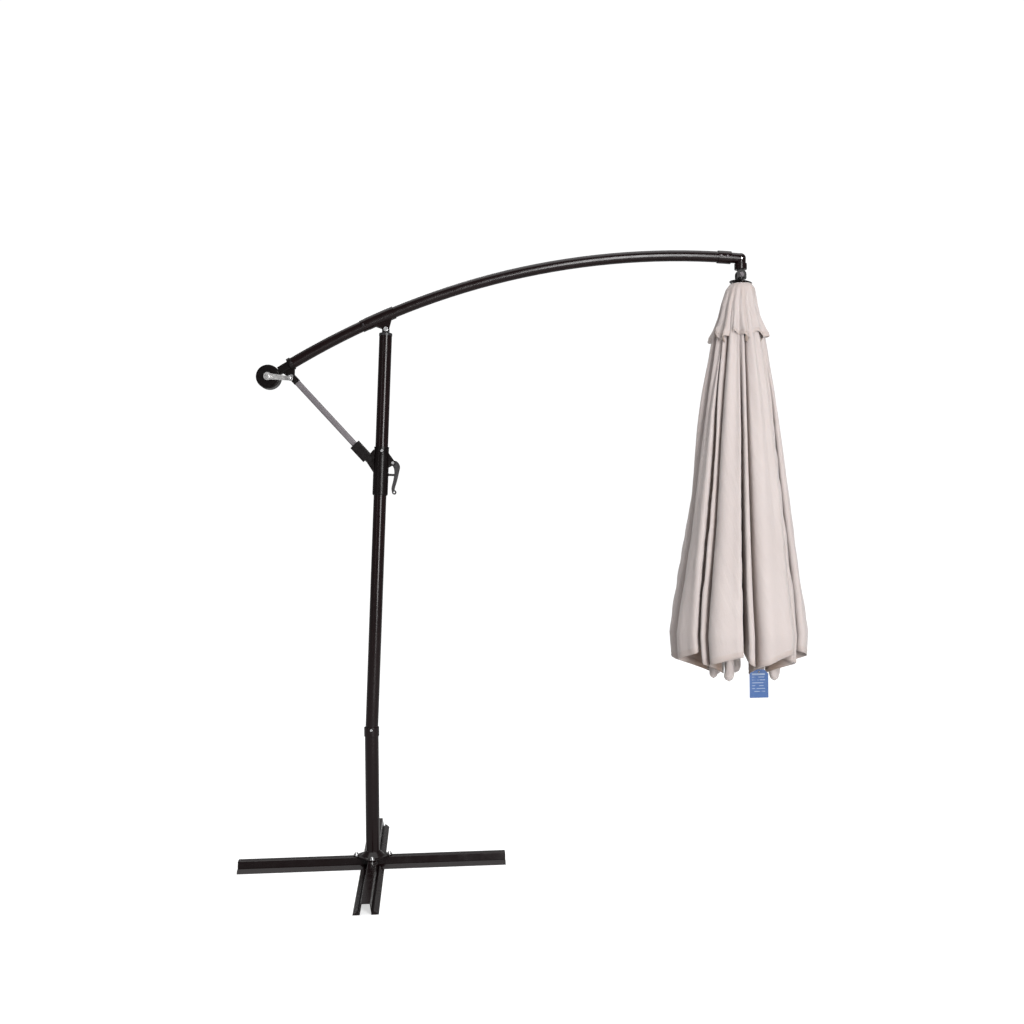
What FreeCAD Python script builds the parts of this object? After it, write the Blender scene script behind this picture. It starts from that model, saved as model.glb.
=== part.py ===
import FreeCAD, Part
import math
import os

# Cantilever parasol, canopy closed. Millimetres, +Z up, +X towards the canopy.
# Origin on the floor, under the middle of the lower pole.

# Driving dimensions -------------------------------------------------------

# base cross
bar_length = 1000.0
bar_width = 88.0
bar_ridge_height = 38.0
bar_ridge_width = 32.0
bar_ridge_foot = 42.0
bar_sheet = 2.0
bar_crest_height = 13.0
bar_crest_inset = 17.0
bar_groove_depth = 8.0
leg_gap = 0.6
plate_half_diagonal = 76.0
plate_thickness = 4.0
base_bolt_reach = 62.0
base_bolt_radius = 5.0
base_nut_radius = 10.0
base_nut_height = 8.0
foot_cone_flare = 18.0
foot_cone_height = 16.0

# poles
main_pole_radius = 24.0
pole_wall = 1.6
pole_fit = 0.4
lower_pole_radius = main_pole_radius + pole_fit + pole_wall
pole_joint_height = 505.0
pole_lean = 2.6
spigot_depth = 110.0
collar_below = 15.0
collar_above = 20.0
collar_wall = 2.5
main_pole_length = 1499.0
insert_flange_height = 10.0
insert_depth = 60.0
tongue_half_thickness = 9.0
tongue_radius = 14.0

# arm, a tube bent to one large radius
arm_pivot_above_pole = 23.0
pivot_bolt_radius = 5.0
arm_bend_radius = 2900.0
arm_slope = 26.3
arm_above_pivot = 49.0
arm_radius = 21.0
arm_wall = 1.5
arm_reach = 1380.0
tail_reach = 379.0
arm_fit = 0.3
sleeve_half_length = 56.0
sleeve_wall = 3.5
cheek_thickness = 5.5
cheek_gap = 0.5
cheek_boss_radius = 12.0
joint_collar_length = 23.0
joint_collar_wall = 2.5
inner_sleeve_overlap = 60.0

# tail bracket, crank drum
tail_collar_length = 16.0
tail_collar_wall = 4.0
drum_offset = 96.0
drum_radius = 45.0
drum_half_depth = 30.0
drum_wall = 2.5
drum_neck_half_height = 15.0
drum_neck_half_depth = 14.0
spool_core_radius = 16.0
drum_post_inset = 8.0
drum_post_radius = 5.0
spool_post_gap = 2.0
spool_half_length = 18.0
crank_shaft_radius = 6.0
running_fit = 0.05
ratchet_inset = 6.0
ratchet_teeth = 14
ratchet_thickness = 5.0
crank_length = 84.0
crank_droop = 6.0
crank_arm_thickness = 5.0
crank_hub_radius = 15.0
crank_tip_radius = 9.0
crank_clearance = 3.0
knob_radius = 8.0
knob_length = 30.0
knob_pin_radius = 3.0

# strut
strut_head_along = -22.0
strut_head_below = 42.0
strut_foot_gap = 19.0
strut_foot_below_pivot = 492.3
strut_width = 23.0
strut_depth = 12.0
strut_wall = 1.6
knuckle_radius = 12.0
knuckle_length = 22.0
strut_pin_radius = 4.0
lug_gap = 0.5
lug_thickness = 5.0
shoe_length = 76.0
shoe_half_width = 21.5
shoe_half_depth = 16.2
shoe_slot_end = 22.0
shoe_slot_half_depth = 12.9
shoe_start = 6.0
shoe_end_radius = 12.5
shoe_rib_start = 12.0
shoe_rib_end = 9.0
shoe_rib_depth = 2.2
shoe_bore_start = 34.0
shoe_rib_count = 7
foot_pin_radius = 4.0
foot_eye_clearance = 5.8
foot_eye_half_depth = 6.5

# slider and lever
slider_below_foot = 131.7
slider_body_above_foot = 19.3
slider_collar_height = 26.0
slider_flange = 3.0
slider_wall = 4.65
slider_collar_wall = 3.15
slider_flange_wall = 4.15
slider_clearance = 0.35
bush_thickness = 2.0
bush_length = 40.0
ear_thickness = 5.0
ear_gap = 0.5
ear_radius = 13.0
lever_pivot_gap = 15.0
lever_below_foot = 10.7
lever_pin_radius = 3.0
lever_eye_radius = 8.5
lever_half_depth = 6.5
lever_ear_radius = 10.5
lever_ear_drop = 20.0
lever_curl_side = 9.0
lever_curl_height = 8.5
lever_curl_radius = 8.5
lever_curl_hole = 3.2
lever_drop = 119.0
plunger_drop = 45.0
plunger_radius = 4.5
plunger_gap = 0.6
spring_wire = 0.9
spring_turns = 3.0

# head, at the arm's outer end
head_collar_length = 53.0
head_collar_wall = 3.5
head_leg_radius = 20.0
head_corner = 46.0
head_band_radius = 24.0
head_leg_length = 20.0
head_band_height = 24.0
pulley_radius = 14.0
pulley_half_width = 5.0
pulley_pin_radius = 3.0
link_bolt_drop = 20.0
link_bolt_radius = 4.0
link_tongue_half = 8.0
link_cheek = 5.5
link_length = 35.0
link_radius = 19.0

# canopy frame and cloth
cap_radius = 43.5
cap_rise = 9.0
hub_drop = 37.0
cap_lift = 7.5
cap_tilt = 7.0
hub_radius = 38.0
hub_height = 12.0
rib_count = 8
rib_length = 1515.0
rib_pitch_top = 30.0
rib_pitch_bottom = 124.0
rib_width = 9.0
rib_depth = 15.0
rib_wall = 1.0
rib_tip_length = 40.0
runner_drop = 1050.0
runner_radius = 30.0
runner_height = 26.0
runner_bore = 7.0
stretcher_reach = 540.0
stretcher_width = 4.0
stretcher_depth = 10.0
cloth_thickness = 2.0
cloth_hem_drop = 1392.0
cloth_hem_radius = 258.0
cloth_neck_radius = 41.0
cloth_shoulder_drop = 205.0
cloth_shoulder_radius = 101.0
vent_gap = 4.0
vent_length = 205.0
tag_width = 72.0
tag_height = 106.0
tag_thickness = 1.2
tag_side = 9.0
tag_front = 150.0
tag_bottom_drop = 1580.0
tag_chamfer = 16.0
tag_hole_radius = 3.5

# frame screws, all alike
screw_head_radius = 5.0
screw_head_height = 3.0
screw_radius = 2.5
screw_length = 7.0

# Worked-out places --------------------------------------------------------

arm_pivot_height = main_pole_length + arm_pivot_above_pole
slope = math.radians(arm_slope)
arm_foot_x = -arm_above_pivot * math.sin(slope)
arm_foot_z = arm_pivot_height + arm_above_pivot * math.cos(slope)
bend_x = arm_foot_x + arm_bend_radius * math.sin(slope)
bend_z = arm_foot_z - arm_bend_radius * math.cos(slope)
bolt_half_length = tongue_half_thickness + cheek_gap + cheek_thickness

X = FreeCAD.Vector(1, 0, 0)
Y = FreeCAD.Vector(0, 1, 0)
Z = FreeCAD.Vector(0, 0, 1)

slider_bore = main_pole_radius + slider_clearance
slider_radius = slider_bore + slider_wall
slider_collar_radius = slider_bore + slider_collar_wall
slider_flange_radius = slider_bore + slider_flange_wall
strut_foot_side = slider_radius + strut_foot_gap
strut_foot_height = arm_pivot_height - strut_foot_below_pivot
slider_bottom = strut_foot_height - slider_below_foot
slider_body_top = strut_foot_height + slider_body_above_foot
slider_collar_top = slider_body_top + slider_collar_height
lever_pivot_height = strut_foot_height - lever_below_foot
spool_flange_radius = drum_radius - drum_post_inset - drum_post_radius - spool_post_gap
ratchet_radius = spool_flange_radius - ratchet_inset
drum_post_reach = drum_radius - drum_post_inset
lever_pivot_side = slider_radius + lever_pivot_gap
sleeve_radius = arm_radius + sleeve_wall
joint_collar_radius = arm_radius + joint_collar_wall
tail_collar_radius = arm_radius + tail_collar_wall
head_collar_radius = arm_radius + head_collar_wall

# Helpers ------------------------------------------------------------------

def vec(x, y, z):
    return FreeCAD.Vector(x, y, z)


def fused(shapes):
    """One clean solid out of shapes that overlap."""
    first = shapes[0]
    joined = first.fuse(list(shapes[1:])) if len(shapes) > 1 else first
    return joined.removeSplitter()


def block(x0, x1, y0, y1, z0, z1):
    return Part.makeBox(x1 - x0, y1 - y0, z1 - z0, vec(x0, y0, z0))


def rod_y(x, z, radius, y0, y1):
    """A round bar along Y."""
    return Part.makeCylinder(radius, y1 - y0, vec(x, y0, z), Y)


def rod_z(x, y, radius, z0, z1):
    return Part.makeCylinder(radius, z1 - z0, vec(x, y, z0), Z)


def ring_z(outer, inner, z0, z1):
    return rod_z(0, 0, outer, z0, z1).cut(rod_z(0, 0, inner, z0 - 1, z1 + 1))


def plate_xz(points, y0, y1):
    """A flat plate in the XZ plane from y0 to y1."""
    corners = [vec(x, y0, z) for x, z in points]
    wire = Part.makePolygon(corners + corners[:1])
    return Part.Face(wire).extrude(vec(0, y1 - y0, 0))


def both_sides(shape):
    """A shape and its mirror image across the XZ plane."""
    return [shape, shape.mirror(vec(0, 0, 0), Y)]


def softened(shape, radius, wanted):
    """Fillets the edges that wanted(edge) picks."""
    edges = [edge for edge in shape.Edges if wanted(edge)]
    return shape.makeFillet(radius, edges) if edges else shape


def is_straight_along(edge, direction):
    if edge.Curve.TypeId != "Part::GeomLine":
        return False
    return abs(edge.Curve.Direction.dot(direction)) > 0.99


def leaning(shape):
    """Turns a piece of the upper mast frame to the mast's lean."""
    turned = shape.copy()
    turned.rotate(vec(0, 0, pole_joint_height), Y, pole_lean)
    return turned


def mast_up(height):
    """A height along the mast above the pole joint, before the lean."""
    return pole_joint_height + height


def world_point(x, height):
    """Where a point of the upright mast frame is once the mast leans."""
    a = math.radians(pole_lean)
    return (
        x * math.cos(a) + height * math.sin(a),
        pole_joint_height - x * math.sin(a) + height * math.cos(a),
    )


def arm_angle(s):
    """The arm's slope, in degrees, at s along it from above the pivot."""
    return arm_slope - math.degrees(s / arm_bend_radius)


def arm_point(s):
    a = math.radians(arm_angle(s))
    return bend_x - arm_bend_radius * math.sin(a), bend_z + arm_bend_radius * math.cos(a)


def arm_bar(s0, s1, radius):
    """A round bar that follows the arm's bend from s0 to s1."""
    x, z = arm_point(s0)
    a = math.radians(arm_angle(s0))
    tangent = vec(math.cos(a), 0, math.sin(a))
    start = vec(x, 0, mast_up(z))
    circle = Part.makeCircle(radius, start, tangent)
    face = Part.Face(Part.Wire(circle))
    centre = vec(bend_x, 0, mast_up(bend_z))
    return face.revolve(centre, Y, math.degrees((s1 - s0) / arm_bend_radius))


def arm_tube(s0, s1, outer, inner):
    return arm_bar(s0, s1, outer).cut(arm_bar(s0 - 2, s1 + 2, inner))


def on_arm(shape, s):
    """Moves a piece made at the origin, with X along the arm, to s on the arm."""
    placed = shape.copy()
    placed.rotate(vec(0, 0, 0), Y, -arm_angle(s))
    x, z = arm_point(s)
    placed.translate(vec(x, 0, mast_up(z)))
    return placed


def tail_point(along, up):
    """A point given in the tail end's own directions, in the upright mast frame."""
    a = math.radians(arm_angle(-tail_reach))
    x, z = arm_point(-tail_reach)
    return (
        x + along * math.cos(a) - up * math.sin(a),
        z + along * math.sin(a) + up * math.cos(a),
    )


def screw_out_of(x, y, z, direction):
    """A pan-head screw whose head seats at a point and whose shank goes inwards."""
    unit = vec(*direction)
    unit.normalize()
    seat = vec(x, y, z)
    head = Part.makeCylinder(screw_head_radius, screw_head_height, seat, unit)
    head = softened(head, 1.2, lambda e: e.CenterOfMass.distanceToPoint(seat) > 2.9)
    recess = Part.makeCylinder(1.6, 1.6, seat + unit * (screw_head_height - 1.6), unit)
    shank = Part.makeCylinder(screw_radius, screw_length, seat - unit * screw_length, unit)
    return fused([head, shank]).cut(recess)


def screw_hole(x, y, z, direction):
    """Clearance for the shank of a screw."""
    unit = vec(*direction)
    unit.normalize()
    start = vec(x, y, z) - unit * (screw_length + 1)
    return Part.makeCylinder(screw_radius + 0.02, screw_length + 3, start, unit)


# Base ---------------------------------------------------------------------

def bar_outline():
    """Half a pressed bar's section, from the middle of the ridge outwards."""
    half_top = bar_ridge_width / 2
    half_foot = bar_ridge_foot / 2
    half = bar_width / 2
    crest = half - bar_crest_inset
    return [
        (half_top, bar_ridge_height),
        (half_foot + 1, bar_crest_height - bar_groove_depth),
        (crest - 2, bar_crest_height - bar_groove_depth),
        (crest, bar_crest_height),
        (half - 2, bar_sheet),
        (half, 0),
        (half_foot - bar_sheet, 0),
        (half_top - bar_sheet, bar_ridge_height - bar_sheet),
    ]


def base_bar(length):
    """A pressed steel bar along X, centred on the origin, open under its ridge."""
    right = bar_outline()
    left = [(-y, z) for y, z in reversed(right)]
    corners = [vec(-length / 2, y, z) for y, z in right + left]
    face = Part.Face(Part.makePolygon(corners + corners[:1]))
    bar = face.extrude(vec(length, 0, 0))
    bend = bar_ridge_height - 0.5

    def ridge_corner(edge):
        return is_straight_along(edge, X) and edge.CenterOfMass.z > bend
    return softened(bar, 3.0, ridge_corner)


def base_bolt_places():
    return [
        (base_bolt_reach, 0),
        (-base_bolt_reach, 0),
        (0, base_bolt_reach),
        (0, -base_bolt_reach),
    ]


def base_bolt_holes(radius):
    return [rod_z(x, y, radius, bar_sheet, 80) for x, y in base_bolt_places()]


def base_long_bar():
    return base_bar(bar_length).cut(base_bolt_holes(base_bolt_radius + 0.3))


def base_leg_pair():
    """The two legs across the long bar; each ends against its side."""
    start = bar_width / 2 + leg_gap
    length = bar_length / 2 - start
    legs = []
    for turn in (90, 270):
        leg = base_bar(length)
        leg.translate(vec(start + length / 2, 0, 0))
        leg.rotate(vec(0, 0, 0), Z, turn)
        legs.append(leg.cut(base_bolt_holes(base_bolt_radius + 0.3)))
    return Part.makeCompound(legs)


def base_plate():
    """The square top plate, turned so that its corners lie over the bars."""
    side = plate_half_diagonal * math.sqrt(2)
    z0 = bar_ridge_height
    z1 = z0 + plate_thickness
    plate = block(-side / 2, side / 2, -side / 2, side / 2, z0, z1)
    plate = softened(plate, 9.0, lambda e: is_straight_along(e, Z))
    plate.rotate(vec(0, 0, 0), Z, 45)
    top = z1 + foot_cone_height
    cone = Part.makeCone(lower_pole_radius + foot_cone_flare, lower_pole_radius + 1, foot_cone_height, vec(0, 0, z1))
    plate = fused([plate, cone])
    socket = rod_z(0, 0, lower_pole_radius + 0.05, z1, top + 1)
    return plate.cut([socket] + base_bolt_holes(base_bolt_radius + 0.3))


def base_fasteners():
    """Four bolts with domed nuts, one through each bar under the plate's corners."""
    z0 = bar_ridge_height + plate_thickness
    under = bar_ridge_height - bar_sheet
    sets = []
    for x, y in base_bolt_places():
        shank = rod_z(x, y, base_bolt_radius, under - 5, z0 + 4)
        head = rod_z(x, y, base_nut_radius, under - 8, under)
        nut = rod_z(x, y, base_nut_radius, z0, z0 + base_nut_height * 0.5)
        dome = Part.makeSphere(base_nut_radius * 0.75, vec(x, y, z0 + base_nut_height * 0.5))
        dome = dome.cut(block(x - 20, x + 20, y - 20, y + 20, z0 - 20, z0 + 1))
        sets.append(fused([shank, head, nut, dome]))
    return Part.makeCompound(sets)


# Poles --------------------------------------------------------------------

def lower_pole():
    z0 = bar_ridge_height + plate_thickness
    inner = main_pole_radius + pole_fit
    tube = ring_z(lower_pole_radius, inner, z0, pole_joint_height)
    return tube


def collar_radius():
    return lower_pole_radius + collar_wall


def pole_collar():
    z0 = pole_joint_height - collar_below
    z1 = pole_joint_height + collar_above
    body = rod_z(0, 0, collar_radius(), z0, z1)
    body = softened(body, 2.0, lambda e: e.Curve.TypeId == "Part::GeomCircle")
    lower = rod_z(0, 0, lower_pole_radius + 0.05, z0 - 1, pole_joint_height)
    slack = collar_above * math.sin(math.radians(pole_lean)) + 0.5
    upper = rod_z(0, 0, main_pole_radius + slack, pole_joint_height - 1, z1 + 1)
    return body.cut([lower, upper, screw_hole(*pole_collar_screw_place())])


def pole_collar_screw_place():
    return 0, -collar_radius(), pole_joint_height + 12, (0, -1, 0)


def bent_bar(radius, below, above):
    """A bar with an upright spigot, a kink at the pole joint and a leaning mast."""
    spigot = rod_z(0, 0, radius, pole_joint_height - below, pole_joint_height)
    knee = Part.makeSphere(radius, vec(0, 0, pole_joint_height))
    mast = leaning(rod_z(0, 0, radius, pole_joint_height, mast_up(above)))
    return spigot.fuse([knee, mast])


def main_pole():
    outer = bent_bar(main_pole_radius, spigot_depth, main_pole_length)
    inner = bent_bar(main_pole_radius - pole_wall, spigot_depth + 1, main_pole_length + 1)
    return outer.cut([inner, screw_hole(*pole_collar_screw_place())])


def pole_top_insert():
    """The plug in the mast's top with the tongue that carries the arm."""
    top = mast_up(main_pole_length)
    pivot = mast_up(arm_pivot_height)
    plug = rod_z(0, 0, main_pole_radius - pole_wall - 0.05, top - insert_depth, top)
    flange = rod_z(0, 0, main_pole_radius + 1, top, top + insert_flange_height)
    flange = softened(flange, 2.0, lambda e: e.CenterOfMass.z > top + 1)
    half = tongue_half_thickness
    neck = block(-tongue_radius, tongue_radius, -half, half, top, pivot)
    eye = rod_y(0, pivot, tongue_radius, -half, half)
    bore = rod_y(0, pivot, pivot_bolt_radius + running_fit, -half - 1, half + 1)
    body = fused([plug, flange, neck, eye]).cut(bore)
    return leaning(body)


def pole_collar_screw():
    """One screw in the pole joint's collar."""
    return screw_out_of(*pole_collar_screw_place())


def arm_pivot_bolt():
    """The bolt through the yoke, with its head towards the front."""
    z = mast_up(arm_pivot_height)
    half = bolt_half_length
    shank = rod_y(0, z, pivot_bolt_radius, -half, half + 9)
    head = rod_y(0, z, pivot_bolt_radius + 4, -half - 5.5, -half - 0.3)
    head = softened(head, 1.5, lambda e: e.CenterOfMass.y < -half - 5)
    neck = rod_y(0, z, pivot_bolt_radius, -half - 1, -half)
    return leaning(fused([shank, head, neck]))


def arm_pivot_nut():
    z = mast_up(arm_pivot_height)
    y0 = bolt_half_length + 0.3
    hexagon = Part.makePolygon([
        vec(9.5 * math.cos(math.radians(a)), y0, z + 9.5 * math.sin(math.radians(a)))
        for a in range(0, 361, 60)
    ])
    nut = Part.Face(hexagon).extrude(vec(0, 8, 0))
    return leaning(nut.cut(rod_y(0, z, pivot_bolt_radius, y0 - 1, y0 + 9)))


# Arm ----------------------------------------------------------------------

def arm_bracket():
    """The sleeve on the arm with two ribbed cheeks down to the pivot."""
    pivot = mast_up(arm_pivot_height)
    sleeve = arm_bar(-sleeve_half_length, sleeve_half_length, sleeve_radius)
    y0 = tongue_half_thickness + cheek_gap
    y1 = y0 + cheek_thickness
    back = on_arm(Part.Vertex(vec(-sleeve_half_length + 3, 0, 0)), 0).Point
    front = on_arm(Part.Vertex(vec(sleeve_half_length - 3, 0, 0)), 0).Point
    low = cheek_boss_radius
    outline = [
        (back.x, back.z),
        (front.x, front.z),
        (low * 0.95, pivot + 3),
        (-low * 0.95, pivot + 3),
    ]
    cheek = plate_xz(outline, y0, y1)
    boss = rod_y(0, pivot, cheek_boss_radius, y0, y1)
    cheek = fused([cheek, boss])
    low_end = pivot + cheek_boss_radius
    for share in (0.28, 0.5, 0.72):
        x = back.x + (front.x - back.x) * share
        z = back.z + (front.z - back.z) * share
        rib = plate_xz([(x - 1.5, z), (x + 1.5, z), (1.5, low_end), (-1.5, low_end)], y1 - 1, y1 + 1.6)
        cheek = fused([cheek, rib])
    body = fused([sleeve] + both_sides(cheek))
    bore = arm_bar(-sleeve_half_length - 2, sleeve_half_length + 2, arm_radius + 0.05)
    hole = rod_y(0, pivot, pivot_bolt_radius + running_fit, -y1 - 5, y1 + 5)
    return leaning(body.cut([bore, hole]))


def joint_start():
    """Where the front arm tube meets the tail tube."""
    return -sleeve_half_length - joint_collar_length / 2


def front_arm_tube():
    tube = arm_tube(joint_start() + 0.3, arm_reach, arm_radius, arm_radius - arm_wall)
    return leaning(tube.cut(head_screw_holes()))


def tail_tube():
    """The rear tube, with a reduced end that slides into the front tube."""
    end = joint_start()
    outer = arm_bar(-tail_reach, end, arm_radius)
    nose = arm_bar(end - 1, end + inner_sleeve_overlap, arm_radius - arm_wall - 0.1)
    bore = arm_bar(-tail_reach - 1, end + inner_sleeve_overlap + 1, arm_radius - 2 * arm_wall - 0.1)
    holes = [screw_hole_y(s, radius) for s, radius in tail_screw_places()]
    return leaning(fused([outer, nose]).cut([bore] + holes))


def arm_joint_collar():
    s0 = -sleeve_half_length - joint_collar_length
    s1 = -sleeve_half_length - 0.3
    ring = arm_tube(s0, s1, joint_collar_radius, arm_radius + 0.05)
    return leaning(ring.cut(screw_hole_y(*tail_screw_places()[0])))


def screw_y(s, radius):
    """A screw on the front side of a collar at s along the arm."""
    x, z = arm_point(s)
    return screw_out_of(x, -radius, mast_up(z), (0, -1, 0))


def screw_hole_y(s, radius):
    x, z = arm_point(s)
    return screw_hole(x, -radius, mast_up(z), (0, -1, 0))


def tail_screw_places():
    return [
        (joint_start() - joint_collar_length / 2 + 8, joint_collar_radius),
        (-tail_reach + 3, tail_collar_radius),
    ]


def head_screw_places():
    return [arm_reach - 12, arm_reach - 36]


def head_screw_holes():
    return [screw_hole_y(s, head_collar_radius) for s in head_screw_places()]


def arm_screws():
    """The like screws on the arm: at the joint, the tail collar and the head collar."""
    places = tail_screw_places()
    places += [(s, head_collar_radius) for s in head_screw_places()]
    return Part.makeCompound([leaning(screw_y(s, r)) for s, r in places])


# Tail bracket and crank drum ----------------------------------------------

def in_tail(shape):
    """Moves a piece made in the tail end's own directions into place."""
    placed = shape.copy()
    placed.rotate(vec(0, 0, 0), Y, -arm_angle(-tail_reach))
    x, z = arm_point(-tail_reach)
    placed.translate(vec(x, 0, mast_up(z)))
    return leaning(placed)


def tail_bracket():
    """The collar on the tube's end, the neck to the drum and the strut's two lugs."""
    half = tail_collar_length / 2
    collar = Part.makeCylinder(tail_collar_radius, tail_collar_length, vec(-half, 0, 0), X)
    collar = softened(collar, 2.0, lambda e: e.Curve.TypeId == "Part::GeomCircle")
    y = drum_neck_half_depth
    h = drum_neck_half_height
    neck = block(-drum_offset + drum_radius + 0.2, -half + 1, -y, y, -h, h)
    neck = softened(neck, 5.0, lambda e: is_straight_along(e, X))
    y0 = knuckle_half_depth() + lug_gap
    y1 = y0 + lug_thickness
    low = -strut_head_below
    lug = plate_xz([
        (strut_head_along - 11, low),
        (strut_head_along + 11, low),
        (half - 1, -h),
        (half - 1, 0),
        (-drum_offset + drum_radius + 8, 0),
        (-drum_offset + drum_radius + 8, -h),
    ], y0, y1)
    lug = fused([lug, rod_y(strut_head_along, low, 11, y0, y1)])
    body = fused([collar, neck] + both_sides(lug))
    bore = Part.makeCylinder(arm_radius + 0.2, half + 2, vec(0, 0, 0), X)
    hollow = block(-drum_offset, 1, -y + 4, y - 4, -h + 4, h - 4)
    hole = rod_y(strut_head_along, low, strut_pin_radius, -y1 - 5, y1 + 5)
    seat = Part.makeCylinder(
        screw_radius + 0.02, screw_length + 3, vec(3, -tail_collar_radius + screw_length + 1, 0), vec(0, -1, 0)
    )
    gap = rod_y(strut_head_along, low, knuckle_radius + 2.5, -y0, y0)
    return in_tail(body.cut([bore, hollow, hole, seat, gap]))


def knuckle_half_depth():
    return strut_depth / 2 + strut_wall + 0.4


def strut_head_pin():
    """The rivet through the lugs and the strut's knuckle."""
    y1 = knuckle_half_depth() + lug_gap + lug_thickness
    shank = rod_y(0, 0, strut_pin_radius, -y1 - 0.5, y1 + 0.5)
    caps = [rod_y(0, 0, strut_pin_radius + 3, a, a + 2.5) for a in (-y1 - 2.5, y1)]
    pin = fused([shank] + caps)
    pin.translate(vec(strut_head_along, 0, -strut_head_below))
    return in_tail(pin)


def drum_shell(front):
    """One half of the drum housing, a shallow cup with a bearing hole."""
    side = -1 if front else 1
    outer = rod_y(0, 0, drum_radius, 0, drum_half_depth)
    outer = softened(outer, 6.0, lambda e: e.CenterOfMass.y > drum_half_depth - 1 and e.Length > 100)
    inner = rod_y(0, 0, drum_radius - drum_wall, -1, drum_half_depth - drum_wall)
    lip = rod_y(0, 0, drum_radius - 7, drum_half_depth - 5, drum_half_depth + 2.2)
    groove = rod_y(0, 0, drum_radius - 10, drum_half_depth - 5, drum_half_depth + 3)
    face_ring = lip.cut(groove)
    bearing = rod_y(0, 0, crank_shaft_radius + 5, drum_half_depth - 6, drum_half_depth - 1)
    shell = fused([outer.cut(inner), face_ring.common(rod_y(0, 0, 60, drum_half_depth - 1, 99)), bearing])
    shell = shell.cut(rod_y(0, 0, crank_shaft_radius + running_fit, -1, drum_half_depth + 3))
    for angle in (60, 180, 300):
        a = math.radians(angle)
        x, z = drum_post_reach * math.cos(a), drum_post_reach * math.sin(a)
        post = rod_y(x, z, drum_post_radius, 0.05, drum_half_depth - 1)
        shell = fused([shell, post]).cut(rod_y(x, z, 2.05, -1, drum_half_depth - 4))
    rope_way = block(drum_radius - 12, drum_radius + 5, -1, 9, -9, 9)
    shell = shell.cut(rope_way)
    if front:
        shell = shell.mirror(vec(0, 0, 0), Y)
    shell.translate(vec(-drum_offset, side * 0.05, 0))
    return in_tail(shell)


def drum_screws():
    """Three screws that hold the two drum shells together."""
    screws = []
    for angle in (60, 180, 300):
        a = math.radians(angle)
        x, z = drum_post_reach * math.cos(a), drum_post_reach * math.sin(a)
        screws.append(rod_y(x - drum_offset, z, 2.0, -drum_half_depth + 5, drum_half_depth - 5))
    return in_tail(Part.makeCompound(screws))


def crank_shaft():
    """The shaft through the drum, square where the crank arm seats."""
    y0 = -drum_half_depth - crank_clearance - crank_arm_thickness - 2.2
    shaft = rod_y(0, 0, crank_shaft_radius, y0, drum_half_depth + 2)
    clip = rod_y(0, 0, crank_shaft_radius + 2, drum_half_depth + 0.6, drum_half_depth + 2)
    shaft = fused([shaft, clip])
    shaft.translate(vec(-drum_offset, 0, 0))
    return in_tail(shaft)


def cord_spool():
    half = spool_half_length
    core = rod_y(0, 0, spool_core_radius, -half, half)
    flanges = [rod_y(0, 0, spool_flange_radius, a, a + 2.5) for a in (-half, half - 2.5)]
    spool = fused([core] + flanges)
    spool = spool.cut(rod_y(0, 0, crank_shaft_radius, -half - 1, half + 1))
    spool.translate(vec(-drum_offset, 0, 0))
    return in_tail(spool)


def ratchet_wheel():
    """A saw-toothed wheel that keeps the spool from running back."""
    root = ratchet_radius - 4
    points = []
    for tooth in range(ratchet_teeth):
        a = 2 * math.pi * tooth / ratchet_teeth
        b = a + 2 * math.pi / ratchet_teeth * 0.9
        points.append((root * math.cos(a), root * math.sin(a)))
        points.append((ratchet_radius * math.cos(b), ratchet_radius * math.sin(b)))
    y0 = -spool_half_length - 0.3 - ratchet_thickness
    wheel = plate_xz(points, y0, y0 + ratchet_thickness)
    wheel = wheel.cut(rod_y(0, 0, crank_shaft_radius, y0 - 1, y0 + ratchet_thickness + 1))
    wheel.translate(vec(-drum_offset, 0, 0))
    return in_tail(wheel)


def ratchet_pawl():
    """The brake's pawl, held clear of the teeth inside the front shell."""
    y0 = -spool_half_length - 0.3 - ratchet_thickness
    x0 = ratchet_radius + 2.5
    points = [(x0, -4), (drum_radius - drum_wall - 5, -6), (drum_radius - drum_wall - 5, 8), (x0 + 4, 5)]
    pawl = plate_xz(points, y0, y0 + ratchet_thickness)
    pawl = pawl.cut(rod_y(x0 + 7, 0, 2, y0 - 1, y0 + ratchet_thickness + 1))
    pawl.rotate(vec(0, 0, 0), Y, 120)
    pawl.translate(vec(-drum_offset, 0, 0))
    return in_tail(pawl)


def crank_base():
    return -drum_half_depth - crank_clearance


def crank_turn():
    """The crank's angle in the tail end's own directions."""
    return arm_angle(-tail_reach) - pole_lean + crank_droop


def in_crank(shape):
    """Moves a piece made with the crank along X and its hub at the origin."""
    placed = shape.copy()
    placed.rotate(vec(0, 0, 0), Y, crank_turn())
    placed.translate(vec(-drum_offset, 0, 0))
    return in_tail(placed)


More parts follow.
